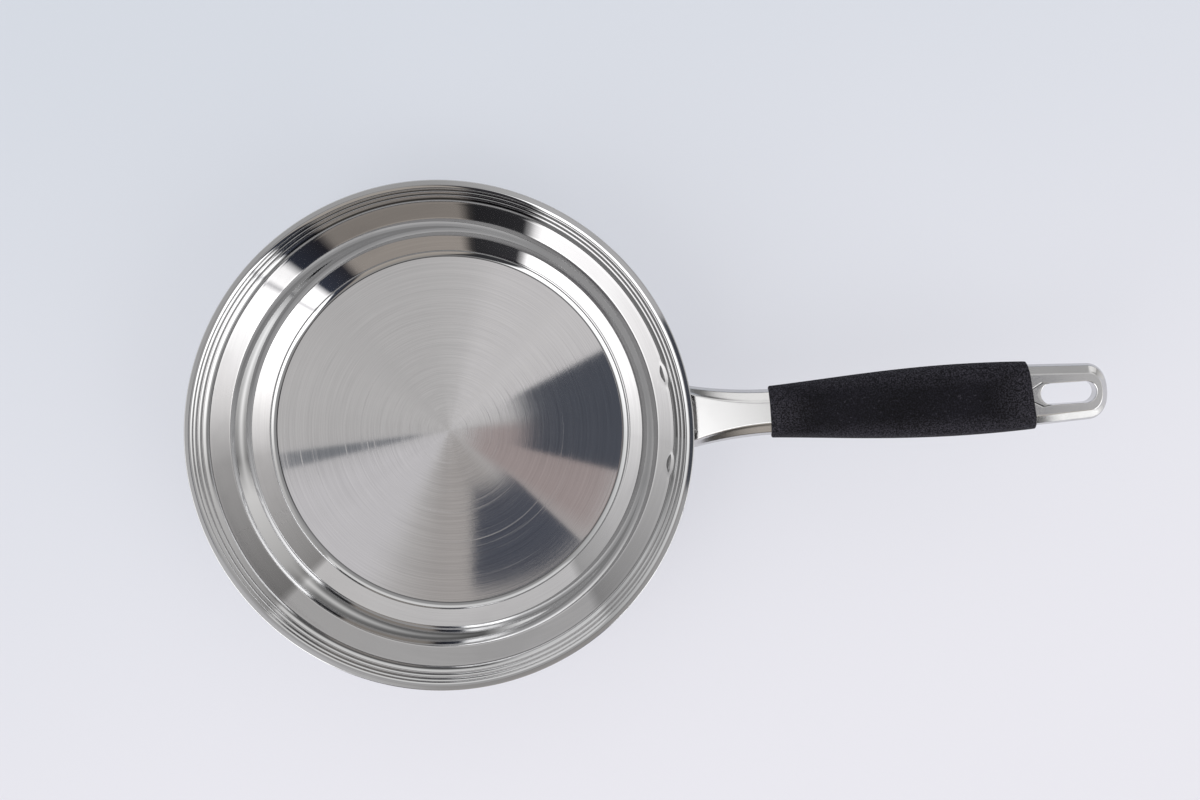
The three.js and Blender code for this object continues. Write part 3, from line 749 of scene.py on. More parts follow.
def table_top(studio):
    """Pale table: part of its brightness shows without light, the rest takes the soft shade under the pan."""
    material, tree, shader = new_material("table_top", metallic=0.0)
    shader.inputs["Roughness"].default_value = 0.9
    shader.inputs["Specular IOR Level"].default_value = 0.0
    place = put(tree, "ShaderNodeTexCoord").outputs["Object"]
    cloud = maths(tree, "MULTIPLY", noise(tree, place, 2.5, 2.0, 0.5), 0.1)
    x, y, _ = put(tree, "ShaderNodeSeparateXYZ", {0: place}).outputs
    # Painted shade: the table's colour darkens towards its far side, where less light falls
    way = maths(tree, "SUBTRACT", maths(tree, "MULTIPLY", x, TABLE_SLANT), y)
    side = ranged(tree, maths(tree, "ADD", way, cloud), *TABLE_FADE, 0.0, 1.0)
    dim = [part * left for part, left in zip(studio.table, TABLE_DIM)]
    tone = blend(tree, side, rgba(dim), rgba(studio.table))
    tree.links.new(tone, shader.inputs["Base Color"])
    path = put(tree, "ShaderNodeLightPath")
    seen = maths(tree, "MAXIMUM", path.outputs["Is Camera Ray"], path.outputs["Is Glossy Ray"])
    glow = put(tree, "ShaderNodeEmission", {"Color": tone, "Strength": 1.0})
    amount = maths(tree, "MULTIPLY", seen, studio.table_glow)
    mixed = put(tree, "ShaderNodeMixShader", {0: amount, 1: shader.outputs[0], 2: glow.outputs[0]})
    tree.links.new(mixed.outputs[0], tree.nodes["Material Output"].inputs["Surface"])
    return material


def finish_once(make, *given):
    """The material that make would give, made on first use."""
    return bpy.data.materials.get(make.__name__) or make(*given)


# Bowl and base

# Columns round the bowl and the base, and how much closer the bowl's lie on the handle's side
BOWL_TURNS = 400
BOWL_CROWD = 0.4
BASE_TURNS = 256

# Rows of the floor, of the cup's inside and underside, and of the cup's upright walls as shares
FLOOR_ROWS = 16
CUP_ROWS = 9
UNDER_ROWS = 24
UPRIGHT_SHARES = (0.3, 0.7, 1.0)

# Points of a ridge's steep band and of the level lip, as shares of their widths
BAND_SHARES = (0.5, 1.0)
LIP_SHARES = (0.1, 0.9, 1.0)

# Turn between two points of the ledge's edges and of its sag
SWEEP_STEP = math.radians(2)
SAG_STEP = math.radians(0.6)

# The wall's steepness is less than this, and is found in so many rounds
STEEPEST = math.radians(89)
SETTLE_ROUNDS = 32

# A weld mark's middle above the wall's head in half heights; its swelling's height as a share of the depth,
# and the swelling's place and width as shares of the mark's own half size
WELD_LIFT = 0.4
SWELL_HEIGHT = 0.3
SWELL_PLACE = 1.3
SWELL_WIDTH = 0.25


def rim_line(sizes, wall_angle):
    """Inside of the ridges and the lip from the head of the wall to the lip's edge, starting at nothing.

    Each ridge is a steep band, a bend that leans out, and a crease that turns up again; the last one flares
    into the level lip, whose edge is turned over in a half round.
    """
    line = np.array([[0.0, 0.0, wall_angle]])
    line = np.vstack((line, arc(line[-1], sizes.crease_radius, wall_angle, sizes.ridge_steep)))
    others = (sizes.ridge_count - sizes.first_ridge) / (sizes.ridge_count - 1)
    for ridge in range(sizes.ridge_count):
        size = others if ridge else sizes.first_ridge
        band = size * sizes.ridge_band / math.sin(sizes.ridge_steep)
        line = np.vstack((line, straight(line[-1], sizes.ridge_steep, band, BAND_SHARES)))
        radius = size * sizes.ridge_radius
        line = np.vstack((line, arc(line[-1], radius, sizes.ridge_steep, sizes.ridge_shallow)))
        line = np.vstack((line, arc(line[-1], sizes.crease_radius, sizes.ridge_shallow, sizes.ridge_steep)))
    line = np.vstack((line, arc(line[-1], sizes.flare_radius, sizes.ridge_steep, 0.0)))
    line = np.vstack((line, straight(line[-1], 0.0, sizes.lip_flat, LIP_SHARES)))
    return line


def wall_line(sizes, start, steep, width):
    """Inside of the wall after the floor's last row: a rounded corner, a straight lower wall, a bend over to
    the gentler ledge, which sags to its middle, a bend back and a straight upper wall.
    """
    gentle = steep - sizes.ledge_dip
    middle = gentle - sizes.ledge_sag
    corner = arc(start, sizes.corner_radius, 0.0, steep)
    room = start[0] + width - corner[-1, 0]
    edge = sizes.edge_share * room
    ledge = sizes.ledge_share * room
    hollow = ledge / 2 / (math.sin(gentle) - math.sin(middle))
    run = ((room - ledge) / 2 - edge * (math.sin(steep) - math.sin(gentle))) / math.cos(steep)
    lower = straight(corner[-1], steep, run)
    over = arc(lower[-1], edge, steep, gentle, SWEEP_STEP)
    down = arc(over[-1], hollow, gentle, middle, SAG_STEP)
    up = arc(down[-1], hollow, middle, gentle, SAG_STEP)
    back = arc(up[-1], edge, gentle, steep, SWEEP_STEP)
    upper = straight(back[-1], steep, run)
    return np.vstack((corner, lower, over, down, up, back, upper))


def bowl_line(sizes):
    """Closed half section of the bowl: floor, wall, ridges, lip, and back along the other face.

    The wall's steepness is found by halving the range in which its top meets the first ridge.
    Returns the line, the row after the floor, the last row of the inside and the row of the wall's head.
    """
    shares = np.sin(np.linspace(0, 0.5, FLOOR_ROWS + 1) * math.pi)
    level = np.full(FLOOR_ROWS + 1, sizes.floor_height)
    floor = np.column_stack((shares * sizes.floor_radius, level, np.zeros(FLOOR_ROWS + 1)))
    edge = sizes.sheet / 2
    low, high = sizes.ledge_dip + sizes.ledge_sag, STEEPEST
    for _ in range(SETTLE_ROUNDS):
        steep = (low + high) / 2
        rim = rim_line(sizes, steep)
        rim[:, 0] += sizes.rim_radius - edge - rim[-1, 0]
        rim[:, 1] += sizes.rim_height - rim[-1, 1]
        wall = wall_line(sizes, floor[-1], steep, rim[0, 0] - sizes.floor_radius)
        if wall[-1, 1] < rim[0, 1]:
            low = steep
        else:
            high = steep
    inside = np.vstack((floor, wall, rim[1:]))
    outside = moved_out(inside, sizes.sheet)[::-1]
    turned = arc(inside[-1], edge, 0.0, -math.pi)
    under = outside[1:-FLOOR_ROWS]
    middle = np.array([[0.0, sizes.floor_height - sizes.sheet, 0.0]])
    line = np.vstack((inside, turned, under, middle))
    head = len(inside) - len(rim)
    return line, len(floor), len(inside), head


def weld_marks(sizes, line, turns, inside_rows, head):
    """How far each inside point is pressed out at the two welds.

    A mark is an oval dent, flat in its middle, with a low swelling round it: a bell of the fourth power of
    the distance less a narrow ring, where the distance is one on the oval's edge.
    """
    along = distance_along(line)
    up = ((along - along[head]) / sizes.weld_half_height - WELD_LIFT)[1:-1, None]
    push = np.zeros((len(line) - 2, len(turns)))
    for side in (1, -1):
        across = line[head, 0] * np.angle(np.exp(1j * (turns - side * sizes.weld_angle)))
        away = np.hypot(across[None, :] / sizes.weld_half_length, up)
        swelling = SWELL_HEIGHT * np.exp(-(((away - SWELL_PLACE) / SWELL_WIDTH) ** 2))
        push += sizes.weld_depth * (np.exp(-away**4) - swelling)
    push[inside_rows - 1:] = 0.0
    return push


class PAN_OT_bowl(Operator):
    """Turns the bowl with its satin floor, polished wall, ridges, lip and weld marks"""

    bl_idname = "pan.bowl"
    bl_label = "Bowl"

    def execute(self, context):
        sizes = context.scene.pan_bowl
        finish = context.scene.pan_finishes
        line, floor_rows, inside_rows, head = bowl_line(sizes)
        even = np.arange(BOWL_TURNS) * math.tau / BOWL_TURNS
        turns = even - BOWL_CROWD * np.sin(even)
        push = weld_marks(sizes, line, turns, inside_rows, head)
        ledge_end = head - len(RUN_SHARES)
        marked = distance_along(line)[[ledge_end, head, inside_rows - 1]]
        points, quads, triangles, loop_map = lathe(line, turns, push)
        row = np.repeat(np.arange(len(line) - 3), BOWL_TURNS)
        quad_materials = np.where(row < floor_rows - 2, 0, 1)
        fan_materials = np.repeat((0, 1), BOWL_TURNS)
        put_piece(
            "bowl", "pan_body", points, (quads, triangles),
            (
                finish_once(satin_floor, finish),
                finish_once(mirror_wall, finish, sizes, *marked),
            ),
            loop_map, np.concatenate((quad_materials, fan_materials)),
        )
        return {"FINISHED"}


def cap_line(sizes):
    """Half section of the base cup: inside floor and corner, wall, rolled top edge, outside and underside.

    The underside rises by the dish towards the middle, with the square of the distance from its edge.
    """
    inner_corner = sizes.corner - sizes.sheet
    flat = sizes.radius - sizes.corner
    edge = sizes.sheet / 2
    level = np.full(CUP_ROWS, sizes.sheet + sizes.dish)
    inside = np.column_stack((np.linspace(0, flat, CUP_ROWS), level, np.zeros(CUP_ROWS)))
    inside[-1, 1] = sizes.sheet
    inside = np.vstack((inside, arc(inside[-1], inner_corner, 0.0, math.pi / 2)))
    rise = sizes.height - edge - inside[-1, 1]
    inside = np.vstack((inside, straight(inside[-1], math.pi / 2, rise, UPRIGHT_SHARES)))
    turned = arc(inside[-1], edge, math.pi / 2, -math.pi / 2)
    down = straight(turned[-1], -math.pi / 2, sizes.height - edge - sizes.corner, UPRIGHT_SHARES)
    corner = arc(down[-1], sizes.corner, -math.pi / 2, -math.pi)
    back = 1 - np.linspace(0, 1, UNDER_ROWS + 1)[1:]
    under = np.column_stack((flat * back, sizes.dish * (1 - back) ** 2, np.full(UNDER_ROWS, -math.pi)))
    return np.vstack((inside, turned, down, corner, under))


class PAN_OT_base(Operator):
    """Turns the base cup and gives the core inside it its metal"""

    bl_idname = "pan.base"
    bl_label = "Base"

    def execute(self, context):
        finish = context.scene.pan_finishes
        line = cap_line(context.scene.pan_base)
        turns = np.arange(BASE_TURNS) * math.tau / BASE_TURNS
        points, quads, triangles, loop_map = lathe(line, turns)
        material = finish_once(brushed_base, finish)
        put_piece("base_cup", "base_cap", points, (quads, triangles), (material,), loop_map)
        dress_node("base_core", plain_metal("core_metal", finish.core_metal, rough=0.4))
        return {"FINISHED"}


# Handle

# Sections of the shells as broken lines: the distance in from the outline as a share of the bevel, and the
# height as a share of the depth
TOP_CORNERS = ((0.0, 0.0), (0.22, 0.45), (0.88, 0.84), (1.12, 1.0), (9.0, 1.0))
BELLY_CORNERS = ((0.0, 0.0), (0.06, 0.38), (0.4, 0.8), (1.0, 1.0), (9.0, 1.0))
BELLY_FLAT = 0.62

# How soft those lines are on the steel and on the sleeve, and the power of the tip's superellipse
STEEL_SOFT = 0.03
SLEEVE_SOFT = 0.16
TIP_POWER = 2.3

# Gaps, edges and steps of the pressed sheets
SEAM_GAP = 0.08 * MM
FRONT_OUT = 3.6 * MM
JOIN_BACK = 4.5 * MM
SLOT_EDGE = 0.45 * MM
LINER_SINK = 1.08 * MM
LINER_SHEET = 0.8 * MM
LINER_UNDERLAP = 1.3 * MM
NOTCH_RUN_IN = 5 * MM
NOTCH_PEAK = 0.5 * MM

# The open mouth, as shares of the flat top: how far it runs straight and how far it then turns to the wall
MOUTH_FLAT = 0.85
MOUTH_TURN = 0.14
FRONT_ROUNDS = 4

# Points round the tip, a slot's round end and its whole outline, along each side, and round a small edge
TIP_POINTS = 33
SLOT_POINTS = 40
OUTLINE_POINTS = 1500
SIDE_POINTS = 60
EDGE_POINTS = 6

# Rows along the neck, and how they crowd towards the wall
NECK_ROWS = 90
NECK_CROWD = 1.25

# Lines along the shells, set in by shares of the bevel, then by shares of the rest; rings round the slot
TOP_SHARES = np.concatenate((np.linspace(0, 0.3, 7), np.linspace(0.37, 0.78, 6), np.linspace(0.83, 1.3, 11)))
BELLY_SHARES = np.concatenate((np.linspace(0, 0.12, 7), np.linspace(0.16, 1.2, 17)))
FLAT_SHARES = np.array((0.75, 0.5, 0.25, 0.0))
RING_SHARES = np.concatenate((np.linspace(0, 0.5, 14)[1:], np.linspace(0.5, 1, 40)[1:]))

# Directions round the lining, and rows of its flange, its bend, its wall and the flange's underside
LINER_TURNS = 240
FLANGE_ROWS = 6
BEND_ROWS = 5
WALL_ROWS = 5
LAP_ROWS = 4


class HandleForm:
    """The handle's outside as two height fields over the plan, the top and the belly, joined at the seam.

    Its sizes along X run from neck to waist as a parabola, from waist to tail as a smooth step and from tail
    to tip in a straight line. The climb's slope changes evenly from the mouth to the tip. The plan ends in a
    superellipse. Across, both sides follow a soft broken line of the distance in from the outline.
    """

    def __init__(self, sizes, softness=STEEL_SOFT):
        self.sizes = sizes
        self.top_rise = soft_facets(TOP_CORNERS, softness)
        self.belly_rise = soft_facets(BELLY_CORNERS, softness)
        self.tip_start = sizes.tip - sizes.tip_round
        self.slot_middle = sizes.tip - sizes.slot_end - sizes.slot_length / 2

    def along(self, x, neck, waist, tail, tip):
        """A size at X from its values at neck, waist, tail and tip."""
        s = self.sizes
        back = np.clip((s.waist - x) / (s.waist - s.mouth), 0, None)
        on = np.clip((x - s.waist) / (s.tail - s.waist), 0, 1)
        out = np.clip((x - s.tail) / (s.tip - s.tail), 0, 1)
        middle = waist + (neck - waist) * back**2 + (tail - waist) * on**2 * (3 - 2 * on)
        return middle + (tip - tail) * out

    def half(self, x):
        """Half width of the plan before the tip is rounded."""
        s = self.sizes
        return self.along(x, s.neck_half, s.waist_half, s.tail_half, s.tip_half)

    def face(self, x):
        """Half width of the flat top."""
        s = self.sizes
        return self.along(x, s.neck_face, s.waist_face, s.tail_face, s.tip_face)

    def drop(self, x):
        """Height from the seam up to the top face."""
        s = self.sizes
        return self.along(x, s.side_drop, s.side_drop, s.tail_drop, s.tail_drop)

    def belly(self, x):
        """Depth from the seam down to the flat underneath."""
        s = self.sizes
        return self.along(x, s.belly, s.belly, s.tail_belly, s.tail_belly)

    def seam(self, x):
        """Height of the seam: the climb of the top face less the drop of the sides."""
        s = self.sizes
        start = math.tan(s.start_slope)
        here = start + (math.tan(s.end_slope) - start) * (x - s.mouth) / (s.tip - s.mouth)
        return s.mouth_height + (start + here) / 2 * (x - s.mouth) - self.drop(x)

    def inset(self, x, y, grow=0.0):
        """Distance in from the outline, which is the half width less Y but for the rounded tip."""
        half = self.half(x) + grow
        past = np.clip((x - self.tip_start) / self.sizes.tip_round, 0, 1)
        out = ((np.abs(y) / half) ** TIP_POWER + past**TIP_POWER) ** (1 / TIP_POWER)
        return (1 - out) * half

    def top(self, x, y, grow=0.0, lift=0.0):
        """Height of the upper shell, grown sideways and upwards."""
        bevel = self.half(x) - self.face(x) + grow / 2
        return self.seam(x) + (self.drop(x) + lift) * self.top_rise(self.inset(x, y, grow) / bevel)

    def under(self, x, y, grow=0.0, lift=0.0):
        """Height of the lower shell, grown sideways and downwards."""
        flat = np.minimum(self.face(x), self.half(x) * BELLY_FLAT) + grow / 2
        reach = self.half(x) + grow - flat
        return self.seam(x) - (self.belly(x) + lift) * self.belly_rise(self.inset(x, y, grow) / reach)

    def lower_face(self, x, y):
        """Height of the lower shell, set down by the seam's gap."""
        return self.under(x, y) - SEAM_GAP

    def inward(self, x, y, z, up):
        """The point of the inner face behind a point: drawn in by the sheet, and down from the top or up."""
        sheet = self.sizes.sheet
        past = np.clip(x - self.tip_start, 0, None)
        x_in = x - past * sheet / self.sizes.tip_round
        y_in = y * (1 - sheet / self.half(x))
        depth = np.where(up, self.drop(x), self.belly(x))
        z_in = z - sheet * (z - self.seam(x)) / depth
        return np.stack((x_in, y_in, z_in), axis=-1)

    def tip_outline(self):
        """Plan of the rounded tip from its end to its left side, as a quarter of a superellipse."""
        turn = np.linspace(0, math.pi / 2, TIP_POINTS)
        x = self.tip_start + self.sizes.tip_round * np.cos(turn) ** (2 / TIP_POWER)
        return np.column_stack((x, self.half(x) * np.sin(turn) ** (2 / TIP_POWER)))

    def slot_outline(self, notched):
        """Left half of the slot's plan from its outer end to its inner end, as points.

        A plain slot is a stadium. A notched one widens to a peak beside its inner end and runs to a point.
        """
        s = self.sizes
        radius = s.slot_width / 2
        straight_half = s.slot_length / 2 - radius
        turn = np.linspace(0, math.pi / 2, SLOT_POINTS)
        outer = np.column_stack((straight_half + radius * np.cos(turn), radius * np.sin(turn)))
        if notched:
            inner_end = -s.slot_length / 2
            inner = np.array([
                [inner_end + NOTCH_RUN_IN, radius],
                [inner_end + NOTCH_PEAK, s.notch_width / 2],
                [inner_end - s.notch_length, 0.0],
            ])
        else:
            inner = np.column_stack((-straight_half - radius * np.sin(turn), radius * np.cos(turn)))
        points = np.vstack((outer, inner))
        along = distance_along(points)
        even = np.linspace(0, along[-1], OUTLINE_POINTS)
        x = np.interp(even, along, points[:, 0])
        y = np.interp(even, along, points[:, 1])
        return x + self.slot_middle, y

    def slot_radius(self, turns, notched):
        """Distance from the slot's middle to its edge in each direction."""
        x, y = self.slot_outline(notched)
        bearing = np.arctan2(y, x - self.slot_middle)
        return np.interp(np.abs(turns), bearing, np.hypot(x - self.slot_middle, y))


def across_lines(form, x, shares):
    """Y of the lines that run along a shell: set in from the outline by shares of the bevel, then even."""
    half = form.half(x)[..., None]
    bevel = half - form.face(x)[..., None]
    sides = half - bevel * shares
    right = np.concatenate((sides, sides[..., -1:] * FLAT_SHARES), axis=-1)
    return np.concatenate((-right, right[..., -2::-1]), axis=-1)


def wall_front(y, z, bowl):
    """X at which a line of the handle meets the cone round the bowl's wall, moved out for the bracket."""
    line, _, _, head = bowl_line(bowl)
    lean = 1 / math.tan(line[head, 2])
    radius = line[head, 0] + FRONT_OUT + (z - line[head, 1]) * lean
    return np.sqrt(radius**2 - y**2)


def neck_grid(form, bowl, height, shares, open_mouth):
    """Grid of a shell from its front to the join under the sleeve: rows along X, columns across.

    Each line starts at the wall's cone, or, where the mouth is open, at the mouth across the top face.
    """
    s = form.sizes
    join = form.slot_middle - s.slot_length / 2 - s.notch_length - JOIN_BACK
    first = across_lines(form, np.array(s.mouth), shares)
    front = np.full(first.shape, s.mouth)
    for _ in range(FRONT_ROUNDS):
        front = wall_front(first, height(front, first), bowl)
    if open_mouth:
        side = np.clip((np.abs(first) / s.neck_face - MOUTH_FLAT) / MOUTH_TURN, 0, 1)
        front = s.mouth + (front - s.mouth) * side**2 * (3 - 2 * side)
    way = np.linspace(0, 1, NECK_ROWS)[:, None] ** NECK_CROWD
    x = front + (join - front) * way
    y = np.diagonal(across_lines(form, x, shares), axis1=1, axis2=2)
    return x, y, join


def tail_grid(form, join, join_y, notched, grow):
    """Plan of a shell's end as rings from the slot's edge to the outline, in the directions of the outline.

    The outline runs round the tip, along the sides and across the join; the slot is grown by grow. Returns
    the slot's points, the unit steps away from them and the distances to the outline, in that order.
    """
    tip = form.tip_outline()
    side_x = np.linspace(form.tip_start, join, SIDE_POINTS)[1:-1]
    side = np.column_stack((side_x, form.half(side_x)))
    across = np.column_stack((np.full(len(join_y), join), join_y[::-1]))
    left = np.vstack((tip, side))
    right = (left[1:] * (1, -1))[::-1]
    outline = np.vstack((left, across, right))
    middle = np.array([form.slot_middle, 0.0])
    away = outline - middle
    bearing = np.arctan2(away[:, 1], away[:, 0])
    far = np.hypot(away[:, 0], away[:, 1])
    step = away / far[:, None]
    near = form.slot_radius(bearing, notched) + grow
    return middle + step * near[:, None], step, far - near


def shell_mesh(form, bowl, upper):
    """Closed mesh of one shell: the neck's grid and the tail's rings, joined, with the sheet behind them."""
    s = form.sizes
    height, shares = (form.top, TOP_SHARES) if upper else (form.lower_face, BELLY_SHARES)
    x, y, join = neck_grid(form, bowl, height, shares, upper)
    neck = np.stack((x, y, height(x, y)), axis=-1)
    neck_in = form.inward(x, y, neck[..., 2], upper)
    grow = 0.0 if upper else LINER_SHEET + SEAM_GAP
    slot, step, reach = tail_grid(form, join, y[-1], upper, grow)
    turn = np.linspace(0, math.pi / 2, EDGE_POINTS)
    out = np.concatenate(([0.0], SLOT_EDGE * (1 - np.cos(turn))))
    down = np.concatenate(([s.sheet], SLOT_EDGE * (1 - np.sin(turn))))
    spread = SLOT_EDGE + (reach - SLOT_EDGE) * RING_SHARES[:, None]
    far_out = np.vstack((np.repeat(out[:, None], len(reach), 1), spread))
    plan = slot + step * far_out[..., None]
    sign = 1 if upper else -1
    sink = np.concatenate((down, np.zeros(len(RING_SHARES))))[:, None] * sign
    z = height(plan[..., 0], plan[..., 1]) - sink
    tail = np.concatenate((plan, z[..., None]), axis=-1)
    tail_in = form.inward(plan[..., 0], plan[..., 1], z, upper)
    edge_rows = len(out)
    behind = slot + step * s.sheet
    behind_z = height(behind[..., 0], behind[..., 1]) - s.sheet * sign
    tail_in[:edge_rows, :, :2] = behind
    tail_in[:edge_rows, :, 2] = behind_z
    outer = np.vstack((neck.reshape(-1, 3), tail.reshape(-1, 3)))
    inner = np.vstack((neck_in.reshape(-1, 3), tail_in.reshape(-1, 3)))
    faces = np.vstack((
        grid_quads(*x.shape),
        grid_quads(len(far_out), len(reach), close_columns=True) + x.size,
    ))
    if not upper:
        faces = faces[:, ::-1]
    kept, faces = weld(outer, faces)
    return thicken(outer[kept], inner[kept], faces)


class PAN_OT_handle(Operator):
    """Presses the two shells of the hollow handle, with the hang slot and its pointed cut-out"""

    bl_idname = "pan.handle"
    bl_label = "Handle shells"

    def execute(self, context):
        scene = context.scene
        form = HandleForm(scene.pan_handle)
        material = finish_once(handle_polish, scene.pan_finishes)
        for node, upper in (("handle_top_shell", True), ("handle_bottom_shell", False)):
            points, faces = shell_mesh(form, scene.pan_bowl, upper)
            name = "handle_top" if upper else "handle_belly"
            put_piece(name, node, points, (faces,), (material,), crisp=50)
        return {"FINISHED"}


def liner_mesh(form):
    """Closed ring of the slot's lining: a tongue and flange under the top face, turned down into the slot.

    In each direction from the slot's middle the section is a loop: along the flange, round its bend, down
    the slot's wall, under its edge and back up behind it. Returns points, faces and the map, which holds the
    distance from the cut-out's edge and the direction; below the bend that distance is a whole notch.
    """
    turns = np.linspace(-math.pi, math.pi, LINER_TURNS + 1)[:-1]
    near = form.slot_radius(turns, False) + SEAM_GAP
    lap = form.slot_radius(turns, True) + LINER_UNDERLAP - near
    bend = np.linspace(0, math.pi / 2, BEND_ROWS)[:, None]
    flange = SLOT_EDGE + (lap - SLOT_EDGE) * np.linspace(1, 0, FLANGE_ROWS + 1)[:-1, None]
    rounded = SLOT_EDGE * (1 - np.sin(bend)) * np.ones(LINER_TURNS)
    wall = np.zeros((WALL_ROWS, LINER_TURNS))
    back = np.full((WALL_ROWS, LINER_TURNS), LINER_SHEET)
    under = LINER_SHEET + (lap - LINER_SHEET) * np.linspace(0, 1, LAP_ROWS + 1)[1:, None]
    out = np.vstack((flange, rounded, wall, back, under))
    step = np.column_stack((np.cos(turns), np.sin(turns)))
    plan = np.array([form.slot_middle, 0.0]) + step * (near + out)[..., None]
    x, y = plan[..., 0], plan[..., 1]
    edge = slice(FLANGE_ROWS, FLANGE_ROWS + BEND_ROWS)
    down = slice(edge.stop, edge.stop + WALL_ROWS)
    behind = slice(down.stop, down.stop + WALL_ROWS)
    z = form.top(x, y) - LINER_SINK
    z[edge] -= SLOT_EDGE * (1 - np.cos(bend))
    z[behind.start:] -= LINER_SHEET
    low = form.lower_face(x, y)
    start = z[edge.stop - 1]
    z[down] = start + (low[down] - start) * np.linspace(0, 1, WALL_ROWS + 1)[1:, None]
    z[behind] = low[behind] + (z[behind] - low[behind]) * np.linspace(0, 1, WALL_ROWS)[:, None]
    points = np.stack((x, y, z), axis=-1).reshape(-1, 3)
    faces = grid_quads(*x.shape, close_rows=True, close_columns=True)[:, ::-1]
    from_edge = out - (lap - LINER_UNDERLAP)
    from_edge[down.start:] = form.sizes.notch_length
    flat_map = np.stack((from_edge.ravel(), np.tile(turns / math.tau, len(out))), axis=-1)
    return points, faces, flat_map[faces.ravel()].ravel()


class PAN_OT_liner(Operator):
    """Presses the lining of the hang slot, whose tongue shows in the cut-out"""

    bl_idname = "pan.liner"
    bl_label = "Slot lining"

    def execute(self, context):
        scene = context.scene
        points, faces, loop_map = liner_mesh(HandleForm(scene.pan_handle))
        material = finish_once(lining_polish, scene.pan_finishes)
        put_piece(
            "slot_lining", "slot_liner", points, (faces,), (material,), loop_map, crisp=50
        )
        return {"FINISHED"}


class PAN_OT_fixings(Operator):
    """Gives the bracket and its two welds their metal"""

    bl_idname = "pan.fixings"
    bl_label = "Bracket and welds"

    def execute(self, context):
        finish = context.scene.pan_finishes
        dress_node("handle_bracket", plain_metal("bracket_steel", finish.bracket_steel, rough=0.3))
        weld_metal = plain_metal("weld_steel", finish.bracket_steel, rough=0.45)
        for side in ("left", "right"):
            dress_node(f"spot_weld_{side}", weld_metal)
        return {"FINISHED"}


# Sleeve

# Rows of the outside and of the inside, half the columns round, and the gap over the shells
SLEEVE_ROWS = 90
SLEEVE_INSIDE_ROWS = 12
SLEEVE_TURNS = 60
SLEEVE_FIT = 0.05 * MM


def sleeve_mesh(sizes, form):
    """Closed tube round the handle: its section grows out from the shells and is carried along X.

    The growth is the sheet plus a bulge that swells as half a sine wave along the sleeve, drawn in round the
    two end lips; the inner rows lie on the shells. The far end is skewed by the cube of the way along.
    """
    end_turn = np.linspace(0, math.pi / 2, EDGE_POINTS)
    lip = sizes.edge * (1 - np.cos(end_turn))
    drawn = sizes.edge * (1 - np.sin(end_turn))
    body = np.linspace(sizes.edge, sizes.length - sizes.edge, SLEEVE_ROWS)[1:-1]
    way = np.concatenate((lip, body, sizes.length - lip[::-1]))
    cut = np.concatenate((drawn, np.zeros(len(body)), drawn[::-1]))
    swell = np.sin(math.pi * way / sizes.length)
    grow = sizes.sheet + sizes.bulge * swell - cut
    lift = sizes.sheet + sizes.lift * swell - cut
    fit = np.full(SLEEVE_INSIDE_ROWS, SLEEVE_FIT)
    way = np.concatenate((way, np.linspace(sizes.length, 0, SLEEVE_INSIDE_ROWS)))[:, None]
    grow = np.concatenate((grow, fit))[:, None]
    lift = np.concatenate((lift, fit))[:, None]
    across = -np.cos(np.linspace(0, math.pi, SLEEVE_TURNS + 1))
    x = sizes.start + way + np.zeros(SLEEVE_TURNS)
    top_y = (form.half(x) + grow) * across[:-1]
    low_y = (form.half(x) + grow) * across[:0:-1]
    top = np.stack((x, top_y, form.top(x, top_y, grow, lift)), axis=-1)
    low = np.stack((x, low_y, form.under(x, low_y, grow, lift)), axis=-1)
    grid = np.concatenate((top, low), axis=1)
    grid[..., 0] -= grid[..., 1] * math.tan(sizes.skew) * (way / sizes.length) ** 3
    return grid.reshape(-1, 3), grid_quads(*grid.shape[:2], close_rows=True, close_columns=True)


class PAN_OT_sleeve(Operator):
    """Moulds the silicone sleeve over the handle"""

    bl_idname = "pan.sleeve"
    bl_label = "Sleeve"

    def execute(self, context):
        scene = context.scene
        sizes, handle = scene.pan_sleeve, scene.pan_handle
        points, faces = sleeve_mesh(sizes, HandleForm(handle, SLEEVE_SOFT))
        material = finish_once(black_silicone, scene.pan_finishes, sizes, handle.tail_half)
        put_piece("sleeve", "grip_sleeve", points, (faces,), (material,), crisp=60)
        return {"FINISHED"}


# Stage

# Half the table's width, where the camera stands, its turn in degrees, and its lens and sensor in mm
TABLE_HALF = 4.0
CAMERA_PLACE = (104.9 * MM, 54.1 * MM)
CAMERA_TURN = (-3.2771, 1.7997, -4.4723)
LENS = 50.0
SENSOR = 36.0

# Brightness of the room round the horizon, by bearing from X towards Y in degrees: windows are white, the
# posts between them dark
ROOM = (
    (-180, (0.6, 0.6, 0.6)),
    (-165, (0.95, 0.95, 0.95)),
    (-140, (1.3, 1.3, 1.3)),
    (-126, (1.4, 1.4, 1.4)),
    (-123, (0.03, 0.03, 0.033)),
    (-110, (0.02, 0.02, 0.022)),
    (-107, (0.26, 0.237, 0.214)),
    (-75, (0.26, 0.237, 0.214)),
    (-72, (0.02, 0.02, 0.025)),
    (-63, (0.03, 0.035, 0.05)),
    (-61, (1.2, 1.2, 1.2)),
    (-55.6, (1.4, 1.4, 1.4)),
    (-55, (0.4, 0.4, 0.42)),
    (-54.4, (1.4, 1.4, 1.4)),
    (-42, (1.4, 1.4, 1.4)),
    (-20, (0.9, 0.893, 0.885)),
    (0, (0.42, 0.415, 0.41)),
    (43, (0.2, 0.197, 0.193)),
    (45, (0.45, 0.446, 0.441)),
    (137, (0.46, 0.46, 0.46)),
    (138.5, (0.28, 0.28, 0.28)),
    (150, (0.36, 0.36, 0.36)),
    (165, (0.46, 0.46, 0.46)),
    (178, (0.58, 0.58, 0.58)),
)
ROOM_STRENGTH = 2.6

